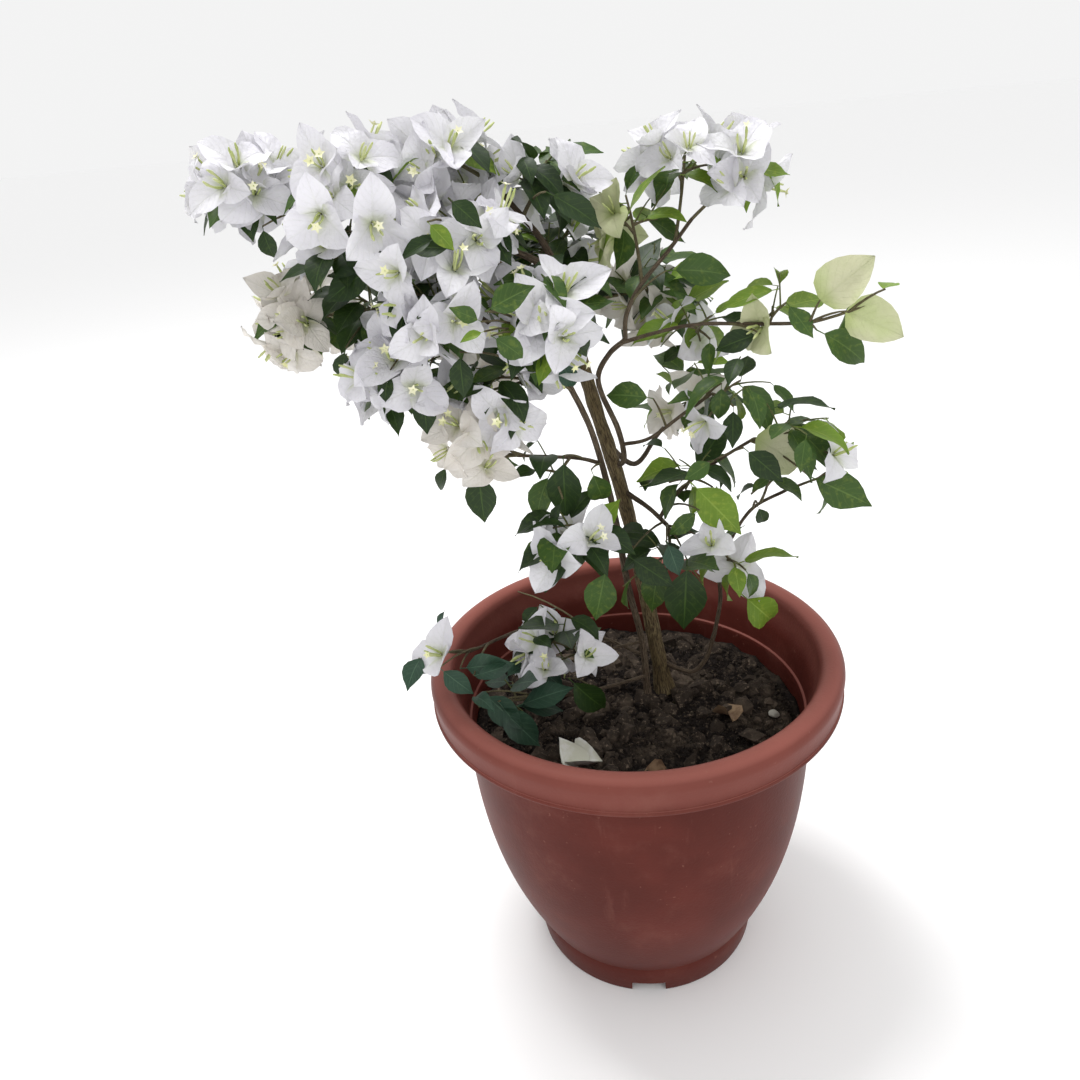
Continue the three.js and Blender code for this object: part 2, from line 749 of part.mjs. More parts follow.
function bladeTestPoints(blade) {
  const middle = blade.over.clone().add(blade.under).multiplyScalar(0.5);
  const edges = [blade.left, blade.right].flatMap((side) => [
    side,
    side.clone().lerp(blade.tip, 0.5),
    side.clone().lerp(middle, 0.5),
  ]);
  return [blade.tip, middle, middle.clone().lerp(blade.tip, 0.5), ...edges];
}

function leafOn(twig, plan, crown, mass) {
  const root = twig.getPoint(plan.share);
  const along = twig.getTangent(plan.share);
  for (let i = 0; i < SPRAY.tries; i++) {
    const side = turned(along, plan.turn + i * GOLDEN_ANGLE);
    const way = along.clone().multiplyScalar(SPRAY.leafAhead).addScaledVector(side, SPRAY.leafAside);
    way.z -= SPRAY.leafDroop;
    way.normalize();
    const shape = (size, margin) =>
      bladePoints(
        root, way, UP, size, SPRAY.leafWidth + margin, SPRAY.leafThickness + margin,
      );
    const room = boxed(mass, bladeGeometry(shape(plan.length, SPRAY.leafMargin)));
    const blade = shape(plan.length, 0);
    if (crown.fits(bladeTestPoints(blade), mass) && crown.isFree(room)) {
      crown.blades.push(room);
      return solidFrom(bladeGeometry(blade));
    }
  }
  return null;
}

function blossomTestPoints({ rim, over }) {
  const edges = rim.map((point, i) => point.clone().lerp(rim[(i + 1) % rim.length], 0.5));
  return [...rim, ...edges, ...rim.map((point) => point.clone().lerp(over, 0.5))];
}

function blossomOn(twig, crown, mass) {
  const root = twig.curve.getPoint(1);
  for (let i = 0; i < SPRAY.tries; i++) {
    const tilt = turned(twig.out, twig.turn + i * GOLDEN_ANGLE);
    const axis = twig.out.clone().addScaledVector(tilt, SPRAY.bloomTilt * i);
    axis.z += SPRAY.bloomLift;
    axis.normalize();
    const shape = (margin) => blossomPoints(root, axis, twig.turn + i, margin);
    const points = shape(0);
    const room = boxed(mass, blossomGeometry(shape(SPRAY.bloomMargin)));
    if (crown.fits(blossomTestPoints(points), mass) && crown.isFree(room)) {
      crown.blades.push(room);
      return solidFrom(blossomGeometry(points));
    }
  }
  return null;
}

function stemGeometry(stem, margin) {
  const radiusAt = (share) => THREE.MathUtils.lerp(...SPRAY.stemRadii, share) + margin;
  return taperedTube(stem, radiusAt, 3, SPRAY.stemSteps);
}

function twigGeometry(twig, margin) {
  const radiusAt = (share) => THREE.MathUtils.lerp(...SPRAY.twigRadii, share) + margin;
  return taperedTube(twig.curve, radiusAt, 3, 1);
}

// Every mass grows its stem, then its twigs, its blossoms and its leaves, all of them clear
// of what the others have grown.
function growMasses(limbs) {
  const crown = new Crown(limbs);
  const plans = MASSES.map((mass, index) => planMass(mass, index, limbs));
  const grown = new Map(plans.map(({ mass }) => [mass, []]));
  for (const { mass, stem } of plans) {
    grown.get(mass).push(solidFrom(stemGeometry(stem, 0)));
    crown.wood.push(boxed(mass, stemGeometry(stem, SPRAY.woodMargin)));
  }
  for (const { mass, twigs } of plans) {
    for (const twig of twigs) {
      const room = boxed(mass, twigGeometry(twig, SPRAY.woodMargin));
      twig.kept = crown.fits(twig.curve.getPoints(4), mass) && crown.isFree(room);
      if (!twig.kept) continue;
      grown.get(mass).push(solidFrom(twigGeometry(twig, 0)));
      crown.wood.push(room);
    }
  }
  for (const { mass, twigs } of plans) {
    for (const twig of twigs) {
      if (twig.kept && twig.blossoms) grown.get(mass).push(blossomOn(twig, crown, mass));
    }
  }
  for (const { mass, twigs } of plans) {
    for (const twig of twigs) {
      if (!twig.kept) continue;
      for (const leaf of twig.leaves) grown.get(mass).push(leafOn(twig.curve, leaf, crown, mass));
    }
  }
  return plans.map(({ mass }) => {
    let solid = grown.get(mass).filter(Boolean).reduce((sum, piece) => sum.add(piece));
    for (const { room } of limbs.values()) solid = solid.subtract(room.solid);
    return { mass, solid: mainBody(solid) };
  });
}

// ---- The whole plant ---------------------------------------------------------------------

const plant = new THREE.Group();

function addPart(name, solid, material) {
  const mesh = new THREE.Mesh(geometryFrom(solid), material);
  mesh.name = name;
  plant.add(mesh);
}

addPart("pot", makePot(), FINISHES.pot);
addPart("soil", makeSoil(), FINISHES.soil);

const limbs = growLimbs();
for (const [name, { solid }] of limbs) {
  addPart(name, solid, name === "trunk" ? FINISHES.trunk : FINISHES.bough);
}

for (const { mass, solid } of growMasses(limbs)) {
  addPart(mass.name, solid, mass.blooms > mass.shoots ? FINISHES.blossom : FINISHES.leaf);
}

export default plant;
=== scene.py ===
"""A white bougainvillea bush in its round pot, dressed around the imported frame.

The growth rule of the part's source is written again here and carried to finer twigs.
Lengths in the rule are millimetres; the meshes are in metres.
"""

import json
import logging
import math
from dataclasses import dataclass, field, replace
from enum import Enum
from typing import Any, Optional, Sequence

import bmesh
import bpy
import numpy as np
from mathutils import Euler, Matrix, Vector, noise

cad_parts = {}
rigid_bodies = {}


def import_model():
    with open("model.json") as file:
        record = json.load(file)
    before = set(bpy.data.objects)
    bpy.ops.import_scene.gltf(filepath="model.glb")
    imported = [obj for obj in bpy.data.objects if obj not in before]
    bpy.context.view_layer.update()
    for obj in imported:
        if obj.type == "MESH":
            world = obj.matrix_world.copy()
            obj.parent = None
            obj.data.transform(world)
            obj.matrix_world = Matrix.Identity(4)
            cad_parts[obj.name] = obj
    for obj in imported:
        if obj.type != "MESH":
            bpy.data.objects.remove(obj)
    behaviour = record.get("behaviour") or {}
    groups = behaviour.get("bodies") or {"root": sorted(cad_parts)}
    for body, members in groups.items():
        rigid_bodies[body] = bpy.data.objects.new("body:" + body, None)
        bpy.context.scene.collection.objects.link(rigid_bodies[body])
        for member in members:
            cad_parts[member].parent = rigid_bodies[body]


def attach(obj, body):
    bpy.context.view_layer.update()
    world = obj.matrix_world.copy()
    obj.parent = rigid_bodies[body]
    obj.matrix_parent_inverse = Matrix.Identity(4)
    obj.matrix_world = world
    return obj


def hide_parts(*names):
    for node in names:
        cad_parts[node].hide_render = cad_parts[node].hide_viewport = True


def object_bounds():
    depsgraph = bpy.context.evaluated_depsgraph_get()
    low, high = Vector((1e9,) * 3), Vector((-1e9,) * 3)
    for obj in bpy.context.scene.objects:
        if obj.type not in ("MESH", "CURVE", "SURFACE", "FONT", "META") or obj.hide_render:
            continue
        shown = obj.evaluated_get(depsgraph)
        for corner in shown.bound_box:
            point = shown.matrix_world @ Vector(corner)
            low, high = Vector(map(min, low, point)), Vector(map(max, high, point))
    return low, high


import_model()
CAD_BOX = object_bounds()

LOG = logging.getLogger("bougainvillea")
BODY = "root"
MM = 0.001
MASK = 0xFFFFFFFF
FULL_TURN = 2 * math.pi
GOLDEN_ANGLE = math.pi * (3 - math.sqrt(5))
UP = np.array([0.0, 0.0, 1.0])
SEED = 101  # as in the part's source
FINE_SEED = 9001

Colour = tuple[float, float, float, float]
Point = tuple[float, float, float]


def tone(red: int, green: int, blue: int) -> Colour:
    """Turn a display colour into the linear colour that a shader takes.

    Args:
        red: Red, 0 to 255.
        green: Green, 0 to 255.
        blue: Blue, 0 to 255.

    Returns:
        The linear colour with alpha 1.
    """
    shares = (channel / 255 for channel in (red, green, blue))
    linear = (s / 12.92 if s <= 0.04045 else ((s + 0.055) / 1.055) ** 2.4 for s in shares)
    return (*linear, 1.0)


# ---- Small tools: seeded numbers, curves, directions -------------------------------------


class Seeded:
    """Random numbers from 0 to 1 that are the same for the same seed."""

    STEP = 0x6D2B79F5
    RANGE = 2**32

    def __init__(self, seed: int) -> None:
        """Start the row of numbers that belongs to the seed."""
        self.state = seed & MASK

    def __call__(self) -> float:
        """Return the next number."""
        self.state = (self.state + self.STEP) & MASK
        mixed = ((self.state ^ (self.state >> 15)) * (self.state | 1)) & MASK
        mixed ^= (mixed + (((mixed ^ (mixed >> 7)) * (mixed | 61)) & MASK)) & MASK
        return ((mixed ^ (mixed >> 14)) & MASK) / self.RANGE

    def between(self, low: float, high: float) -> float:
        """Return the next number, spread from low to high."""
        return low + (high - low) * self()

    def pick(self, count: int) -> int:
        """Return a whole number from 0 to count - 1."""
        return min(count - 1, int(self() * count))


def unit(vector: np.ndarray) -> np.ndarray:
    """Return the vector at length 1."""
    return vector / max(1e-9, float(np.linalg.norm(vector)))


def turned(along: np.ndarray, angle: float) -> np.ndarray:
    """Return a direction square to another one, turned round it.

    Args:
        along: The direction to turn round.
        angle: The turn in radians.

    Returns:
        A direction of length 1 square to along.
    """
    helper = UP if abs(along[2]) < 0.9 else np.array([1.0, 0.0, 0.0])
    first = unit(np.cross(along, helper))
    return first * math.cos(angle) + np.cross(along, first) * math.sin(angle)


def fan(axis: np.ndarray, start: float, opening: float) -> list[tuple[np.ndarray, np.ndarray]]:
    """Spread three bracts round an axis.

    Args:
        axis: The way that the blossom looks.
        start: The turn of the first bract.
        opening: The angle between the axis and a bract.

    Returns:
        For each bract its way, and its side square to the axis.
    """
    sides = [turned(axis, start + FULL_TURN * k / 3) for k in range(3)]
    return [(unit(axis * math.cos(opening) + side * math.sin(opening)), side) for side in sides]


class Curve:
    """A path that is read by its share from 0 to 1."""

    def at(self, share: float) -> np.ndarray:
        """Return the point at a share of the path."""
        raise NotImplementedError

    def tangent(self, share: float) -> np.ndarray:
        """Return the direction of the path at a share."""
        return unit(self.at(min(1.0, share + 1e-4)) - self.at(max(0.0, share - 1e-4)))

    def samples(self, count: int) -> np.ndarray:
        """Return count + 1 points spread along the path."""
        return np.array([self.at(i / count) for i in range(count + 1)])

    def length(self) -> float:
        """Return the path's length."""
        return float(np.linalg.norm(np.diff(self.samples(24), axis=0), axis=1).sum())


@dataclass
class ThroughCurve(Curve):
    """A smooth path through its points."""

    points: np.ndarray

    def at(self, share: float) -> np.ndarray:
        """Return the point at a share of the path.

        Args:
            share: How far along it is, 0 to 1.

        Returns:
            The point.
        """
        points = self.points
        last = len(points) - 1
        place = last * min(1.0, max(0.0, share))
        i = min(int(place), last - 1)
        t = place - i
        before = points[i - 1] if i > 0 else 2 * points[0] - points[1]
        after = points[i + 2] if i + 2 <= last else 2 * points[last] - points[last - 1]
        one, two = points[i], points[i + 1]
        leave, arrive = (two - before) / 2, (after - one) / 2
        bend = (3 * (two - one) - 2 * leave - arrive) * t**2
        return one + leave * t + bend + (2 * (one - two) + leave + arrive) * t**3


@dataclass
class BendCurve(Curve):
    """A path from a start to an end, drawn towards one point between them."""

    start: np.ndarray
    middle: np.ndarray
    end: np.ndarray

    def at(self, share: float) -> np.ndarray:
        """Return the point at a share of the path."""
        back = 1 - share
        return self.start * back**2 + self.middle * 2 * back * share + self.end * share**2


# ---- What the plant is made of: limbs and masses -----------------------------------------


class Bark(Enum):
    """The barks on the plant."""

    TRUNK = "trunk_bark"
    STEM = "stem_bark"


class Bloom(Enum):
    """How a mass's bracts look; warm shade means white bracts with painted shade, a cream tint."""

    WHITE = "white"
    CREAM = "cream"
    GREEN = "green"


class Leafage(Enum):
    """How a mass's leaves look: the shares of deep, mid, bright and shaded ones. Deep and bright greens are
    partly the leaves' own tints and partly painted shade and painted light; the shaded ones are painted
    shade in a bluish green.
    """

    DEEP = (0.72, 0.23, 0.05, 0.0)
    MIXED = (0.38, 0.45, 0.17, 0.0)
    BRIGHT = (0.08, 0.36, 0.56, 0.0)
    BLUE = (0.15, 0.1, 0.0, 0.75)


@dataclass(frozen=True)
class Growth:
    """How finely a mass is grown: its side twigs, how many bloom, and its leaves.

    The gaps are millimetres, the places of leaves are shares of a twig, and the top of the
    leaves and the floor of the blossoms are shares of the mass's own reach over its middle.
    """

    side_twigs: int
    blooming: float
    blossom_gap: float
    leaf_gap: float
    bloom_leaves: tuple[float, ...]
    shoot_leaves: tuple[float, ...]
    leaf_top: float = 2.0
    twig_reach: tuple[float, float] = (15.0, 27.0)
    bloom_floor: float = -2.0
    leaf_size: tuple[float, float] = (0.76, 1.12)


class Habit(Enum):
    """The ways that the masses grow."""

    CLOUD = Growth(4, 1.0, 20.0, 15.0, (0.3,), (0.4, 0.8), leaf_top=0.1)
    FULL = Growth(3, 0.8, 22.0, 14.0, (0.35, 0.75), (0.3, 0.6, 1.0), leaf_top=0.75)
    AIRY = Growth(2, 0.5, 26.0, 20.0, (0.5,), (0.4, 0.8, 1.0), twig_reach=(18.0, 34.0))
    SPARSE = Growth(2, 0.3, 30.0, 24.0, (0.6,), (0.5, 1.0), twig_reach=(16.0, 30.0))
    LEAFY = Growth(3, 0.0, 30.0, 15.0, (0.5,), (0.35, 0.7, 1.0), twig_reach=(18.0, 34.0))
    CANOPY = Growth(4, 1.0, 20.5, 14.0, (0.3,), (0.4, 0.8), leaf_top=-0.05, bloom_floor=-0.2)
    EAVES = Growth(4, 1.0, 18.5, 12.5, (0.3,), (0.4, 0.8), leaf_top=0.25, bloom_floor=0.2)
    FEW = Growth(2, 0.35, 23.0, 16.0, (0.5,), (0.4, 0.9), bloom_floor=-0.1)
    BROAD = Growth(2, 0.0, 30.0, 21.0, (0.5,), (0.5, 1.0), leaf_size=(0.95, 1.2))
    BUDS = Growth(0, 0.0, 30.0, 24.0, (), (0.9,), leaf_size=(0.5, 0.8))
    CLUSTER = Growth(3, 1.0, 20.0, 22.0, (), (0.5, 0.9), leaf_top=-0.3, bloom_floor=0.0)
    OPEN = Growth(2, 0.0, 30.0, 21.0, (0.5,), (0.4, 0.75, 1.0), twig_reach=(20.0, 38.0))
    TWIGGY = Growth(2, 0.0, 30.0, 22.0, (0.6,), (0.5, 1.0), twig_reach=(20.0, 40.0),
        leaf_size=(0.55, 0.85))


@dataclass(frozen=True)
class Limb:
    """A trunk, stem, bough or shoot, as in the part's source."""

    name: str
    radii: tuple[float, float]
    path: tuple[Point, ...]
    parent: Optional[str] = None
    at: float = 0.0
    flare: float = 0.0
    bark: Bark = Bark.STEM

    def radius(self, share: float) -> float:
        """Return the limb's radius at a share of its length."""
        taper = self.radii[0] + (self.radii[1] - self.radii[0]) * share
        return taper + self.flare * math.exp(-share * 30)


@dataclass(frozen=True)
class Mass:
    """A mass of foliage that fills an ellipsoid, as in the part's source."""

    name: str
    limb: str
    at: float
    centre: Point
    reach: Point
    blooms: int
    shoots: int
    bloom: Bloom = Bloom.WHITE
    leafage: Leafage = Leafage.MIXED
    habit: Habit = Habit.FULL


STEM_FOOT = 239.0

LIMBS = (
    Limb("trunk", (6.8, 4.6), ((28, 28, STEM_FOOT), (3, 22, 414), (-25, 12, 541), (-43, 4, 630)), flare=3.4,
         bark=Bark.TRUNK),
    Limb("left_stem", (3.1, 2),
         ((12, 13, STEM_FOOT), (9, 8, 303), (-1, 0, 364), (-9, -4, 434), (-22, -6, 501), (-38, -12, 545),
          (-52, -20, 580)), flare=1.4),
    Limb("right_stem", (2.3, 1.9),
         ((1, 9, 474), (-3, 3, 502), (-13, 0, 529), (-15, -2, 546), (-6, 2, 560),
          (6, 8, 568)), "trunk", 0.45),
    Limb("upper_right_bough", (1.9, 1.4), ((8, 12, 586), (20, 18, 606), (40, 26, 626), (58, 33, 646)),
         "right_stem", 1),
    Limb("right_bough", (1.5, 1.2), ((28, 2, 573), (59, -2, 578), (100, -10, 577), (134, -18, 577)),
         "right_stem", 0.96),
    Limb("middle_right_bough", (1.5, 1.2), ((21, -6, 495), (46, -16, 516), (66, -22, 532)), "right_stem",
         0.25),
    Limb("low_right_bough", (2.2, 1.7), ((18, 9, 431), (33, 2, 417)), "trunk", 0.4),
    Limb("outer_right_bough", (1.6, 1.2), ((34, -2, 438), (49, -6, 456), (70, -14, 476), (94, -22, 494)),
         "low_right_bough", 0.8),
    Limb("side_shoot_foot", (2.2, 2), ((50, 21, 262), (64, 22, 273), (73, 28, 297)), "trunk", 0.06),
    Limb("side_shoot", (1.9, 1.3),
         ((79, 36, 326), (79, 42, 354), (90, 44, 383), (106, 38, 412),
          (128, 16, 436)), "side_shoot_foot", 1),
    Limb("foot_shoot", (1.6, 1.3), ((-10, -6, 309), (-27, -18, 312), (-42, -22, 316)), "left_stem", 0.17),
    Limb("pot_shoot", (1.7, 1.3), ((-18, -16, 276), (-50, -38, 284), (-78, -50, 290)), "left_stem", 0.07),
    Limb("rim_shoot", (1.6, 1.3), ((-35, 16, 308), (-85, 2, 326), (-134, -38, 330)), "left_stem", 0.13),
    Limb("low_left_bough", (1.6, 1.2), ((-32, -12, 484), (-56, -22, 491), (-78, -32, 497)), "left_stem",
         0.6),
    Limb("left_bough", (2.8, 1.6), ((-72, -4, 640), (-118, -20, 656), (-168, -16, 674), (-212, -8, 688)),
         "trunk", 0.97),
    Limb("lower_left_bough", (2.6, 1.5), ((-76, 4, 602), (-128, 6, 600), (-196, 14, 600)), "trunk", 0.9),
    Limb("front_left_bough", (1.8, 1.4), ((-66, -32, 584), (-82, -44, 596), (-92, -52, 606)), "left_stem",
         0.9),
    Limb("top_bough", (2.6, 1.7), ((-51, 5, 646), (-64, 3, 664), (-80, 2, 684)), "trunk", 1),
    Limb("back_left_bough", (2.6, 1.5), ((-64, 36, 608), (-94, 56, 628), (-112, 64, 640)), "trunk", 0.86),
    Limb("back_bough", (2.4, 1.5), ((-28, 40, 570), (-27, 60, 590), (-34, 72, 602)), "trunk", 0.78),
    Limb("back_right_bough", (2.4, 1.5), ((10, 42, 456), (30, 60, 474), (46, 70, 486)), "trunk", 0.5),
)

WHITE, CREAM, GREEN = Bloom
DEEP, MIXED, BRIGHT, BLUE = Leafage
CLOUD, FULL, AIRY, SPARSE, LEAFY, CANOPY, EAVES, FEW, BROAD, BUDS, CLUSTER, OPEN, TWIGGY = Habit

MASSES = (
    Mass("far_left_blossom", "left_bough", 1, (-252, -6, 697), (42, 42, 31), 5, 1, WHITE, DEEP, CLOUD),
    Mass("left_blossom", "left_bough", 0.8, (-176, -30, 699), (42, 46, 30), 4, 1, WHITE, DEEP, CANOPY),
    Mass("left_underside", "left_bough", 0.66, (-182, -30, 652), (42, 44, 28), 3, 2, WHITE, DEEP, EAVES),
    Mass("top_blossom", "top_bough", 1, (-114, -6, 705), (42, 44, 28), 4, 1, WHITE, MIXED, CLOUD),
    Mass("middle_blossom", "left_bough", 0.36, (-98, -46, 664), (44, 48, 34), 4, 1, WHITE, DEEP, CANOPY),
    Mass("crown_blossom", "top_bough", 0.6, (-46, 12, 682), (40, 42, 34), 3, 1, WHITE, MIXED, FULL),
    Mass("lower_left_tip", "lower_left_bough", 1, (-234, 20, 602), (42, 44, 36), 4, 1, CREAM, DEEP, CLOUD),
    Mass("lower_left_leaves", "lower_left_bough", 0.84, (-182, -2, 606), (36, 44, 34), 1, 3, CREAM, DEEP,
         LEAFY),
    Mass("lower_left_front", "lower_left_bough", 0.6, (-151, -43, 566), (46, 44, 36), 4, 2, WHITE, DEEP,
         CANOPY),
    Mass("front_left_blossom", "front_left_bough", 1, (-116, -66, 620), (44, 44, 38), 4, 1, WHITE, MIXED,
         CLOUD),
    Mass("front_blossom", "left_stem", 1, (-46, -64, 602), (42, 42, 42), 4, 2, WHITE, MIXED, FULL),
    Mass("front_lower_blossom", "left_stem", 0.88, (-84, -44, 550), (36, 38, 32), 3, 1, WHITE, DEEP, FULL),
    Mass("low_left_blossom", "low_left_bough", 1, (-111, -41, 504), (38, 38, 36), 3, 2, CREAM, DEEP,
         CLUSTER),
    Mass("low_left_leaves", "low_left_bough", 0.45, (-52, -28, 472), (32, 32, 40), 0, 2, WHITE, DEEP, OPEN),
    Mass("upper_right_blossom", "upper_right_bough", 0.82, (54, 45, 684), (38, 40, 30), 3, 1, WHITE, BRIGHT,
         CLOUD),
    Mass("upper_right_tip", "upper_right_bough", 1, (96, 36, 676), (36, 36, 31), 3, 1, WHITE, BRIGHT,
         CLOUD),
    Mass("upper_right_inner", "upper_right_bough", 0.5, (14, 30, 652), (44, 42, 36), 2, 2, GREEN, BRIGHT,
         AIRY),
    Mass("right_inner", "right_bough", 0.5, (60, 28, 566), (46, 42, 30), 2, 2, WHITE, BRIGHT, AIRY),
    Mass("right_leaves", "right_bough", 0.8, (112, 2, 582), (36, 36, 26), 1, 2, GREEN, BRIGHT, SPARSE),
    Mass("right_tip", "right_bough", 1, (172, -20, 588), (38, 34, 38), 2, 1, GREEN, BRIGHT, BUDS),
    Mass("middle_right", "middle_right_bough", 1, (74, -21, 526), (44, 40, 32), 1, 4, WHITE, MIXED, AIRY),
    Mass("outer_right", "outer_right_bough", 1, (121, -29, 501), (44, 42, 36), 2, 3, GREEN, MIXED, OPEN),
    Mass("heart_right", "outer_right_bough", 0.5, (52, -20, 466), (44, 42, 36), 0, 5, WHITE, MIXED, OPEN),
    Mass("side_leaves", "side_shoot", 0.85, (110, -6, 454), (40, 38, 32), 0, 3, WHITE, MIXED, TWIGGY),
    Mass("side_tip", "side_shoot", 1, (158, -16, 462), (34, 32, 34), 1, 2, WHITE, BRIGHT, TWIGGY),
    Mass("foot_blossom", "left_stem", 0.5, (-42, -46, 430), (44, 40, 32), 4, 1, WHITE, DEEP, FEW),
    Mass("foot_leaves", "low_right_bough", 1, (30, -26, 394), (44, 40, 42), 1, 4, WHITE, DEEP, OPEN),
    Mass("side_foot_leaves", "side_shoot", 0.45, (86, 4, 380), (40, 40, 42), 1, 2, WHITE, BRIGHT, SPARSE),
    Mass("pot_leaves", "pot_shoot", 1, (-106, -58, 294), (46, 44, 36), 0, 3, WHITE, BLUE, BROAD),
    Mass("pot_blossom", "foot_shoot", 1, (-64, -20, 326), (38, 36, 34), 3, 1, WHITE, DEEP, FULL),
    Mass("rim_blossom", "rim_shoot", 1, (-160, -56, 345), (36, 34, 30), 1, 1, WHITE, BLUE, TWIGGY),
    Mass("back_left_blossom", "back_left_bough", 1, (-150, 74, 652), (52, 44, 42), 5, 1, WHITE, MIXED,
         FULL),
    Mass("back_blossom", "back_bough", 1, (-52, 92, 628), (48, 42, 44), 4, 2, WHITE, MIXED, FULL),
    Mass("back_underside", "back_left_bough", 0.35, (-112, 58, 566), (48, 44, 44), 3, 2, CREAM, DEEP, FULL),
    Mass("back_right_blossom", "back_bough", 0.6, (32, 92, 586), (46, 42, 42), 3, 2, CREAM, MIXED, FULL),
    Mass("back_right_leaves", "back_right_bough", 1, (62, 86, 496), (48, 42, 42), 2, 2, CREAM, MIXED, AIRY),
)


# ---- Shaders -----------------------------------------------------------------------------


class NodeTree:
    """A node tree under construction, with short calls to add and link its nodes."""

    def __init__(self, tree: bpy.types.NodeTree) -> None:
        """Start on an empty tree."""
        self.tree = tree

    def node(self, kind: str, inputs: Optional[dict[Any, Any]] = None, **settings: Any) -> Any:
        """Add a node.

        Args:
            kind: The node's type.
            inputs: Values or sockets for its inputs, by name or index.
            **settings: Its own properties.

        Returns:
            The node.
        """
        made = self.tree.nodes.new(kind)
        for name, value in settings.items():
            setattr(made, name, value)
        for key, value in (inputs or {}).items():
            self.feed(made.inputs[key], value)
        return made

    def feed(self, socket: Any, value: Any) -> None:
        """Fill an input.

        Args:
            socket: The input.
            value: A value, or another node's output to link to it.
        """
        if isinstance(value, bpy.types.NodeSocket):
            self.tree.links.new(value, socket)
        else:
            socket.default_value = value

    def math(self, operation: str, *values: Any) -> Any:
        """Return the result of a sum on values."""
        return self.node("ShaderNodeMath", dict(enumerate(values)), operation=operation).outputs[0]

    def times(self, one: Any, other: Any) -> Any:
        """Return the product of two values."""
        return self.math("MULTIPLY", one, other)


class Shader(NodeTree):
    """A material under construction, with one Principled surface."""

    def __init__(self, name: str) -> None:
        """Start the material.

        Args:
            name: Its name.
        """
        self.material = bpy.data.materials.new(name)
        self.material.use_nodes = True
        super().__init__(self.material.node_tree)
        self.tree.nodes.clear()
        self.surface = self.node("ShaderNodeBsdfPrincipled")
        self.output = self.node("ShaderNodeOutputMaterial", {"Surface": self.surface.outputs["BSDF"]})

    def place(self, scale: Sequence[float] = (1, 1, 1), source: str = "Object") -> Any:
        """Return coordinates on the piece, stretched by scale."""
        coordinates = self.node("ShaderNodeTexCoord").outputs[source]
        return self.node("ShaderNodeMapping", {"Vector": coordinates, "Scale": scale}).outputs[0]

    def split(self, vector: Any) -> Any:
        """Return the X, Y and Z of a vector."""
        return self.node("ShaderNodeSeparateXYZ", {0: vector}).outputs

    def noise(self, vector: Any, scale: float, detail: float, rough: float = 0.55) -> Any:
        """Return a noise value from 0 to 1."""
        inputs = {"Vector": vector, "Scale": scale, "Detail": detail, "Roughness": rough}
        return self.node("ShaderNodeTexNoise", inputs).outputs["Fac"]

    def ramp(self, value: Any, low: float, high: float) -> Any:
        """Return the value spread so that low gives 0 and high gives 1."""
        inputs = {"Value": value, "From Min": low, "From Max": high}
        return self.node("ShaderNodeMapRange", inputs, interpolation_type="SMOOTHSTEP").outputs["Result"]

    def spots(
        self, vector: Any, scale: float, detail: float, low: float, high: float, rough: float = 0.55,
    ) -> Any:
        """Return noise spread so that low gives 0 and high gives 1."""
        return self.ramp(self.noise(vector, scale, detail, rough), low, high)

    def mix(self, factor: Any, one: Any, other: Any) -> Any:
        """Return a colour between two, by a factor."""
        return self.node("ShaderNodeMix", {0: factor, 6: one, 7: other}, data_type="RGBA").outputs[2]

    def bump(self, height: Any, distance: float, strength: float) -> None:
        """Raise the surface by a height, at most distance metres."""
        inputs = {"Height": height, "Distance": distance, "Strength": strength}
        self.set(Normal=self.node("ShaderNodeBump", inputs).outputs["Normal"])

    def set(self, **values: Any) -> None:
        """Set the surface's own sockets, with _ for a space in their names."""
        for name, value in values.items():
            self.feed(self.surface.inputs[name.replace("_", " ")], value)

    def veins(self, rib: tuple[float, float], lean: float, waves: float) -> tuple[Any, Any, Any]:
        """Draw a midrib and side veins on a blade's own map.

        Args:
            rib: Where the midrib starts to fade and where it ends, from the middle.
            lean: How far the side veins lean forward.
            waves: How close the side veins are.

        Returns:
            The midrib, the wave of the side veins, and the share of the length.
        """
        uv = self.split(self.place(source="UV"))
        across = self.math("ABSOLUTE", self.math("SUBTRACT", uv["X"], 0.5))
        slant = self.math("SUBTRACT", uv["Y"], self.times(across, lean))
        middle = self.math("SUBTRACT", 1.0, self.ramp(across, *rib))
        return middle, self.math("SINE", self.times(slant, waves)), uv["Y"]

    def let_through(self, colour: Colour, share: float) -> None:
        """Let light from behind through a thin piece.

        Args:
            colour: Its tint.
            share: The share of the light.
        """
        behind = self.node("ShaderNodeBsdfTranslucent", {"Color": colour}).outputs["BSDF"]
        inputs = {"Fac": share, 1: self.surface.outputs["BSDF"], 2: behind}
        mixed = self.node("ShaderNodeMixShader", inputs)
        self.feed(self.output.inputs["Surface"], mixed.outputs["Shader"])


@dataclass(frozen=True)
class Finish:
    """A named finish with its main colour."""

    name: str
    colour: Colour

    def dress(self, shader: Shader) -> None:
        """Set the surface of a new material."""
        raise NotImplementedError

    def material(self) -> bpy.types.Material:
        """Build the material."""
        shader = Shader(self.name)
        self.dress(shader)
        return shader.material


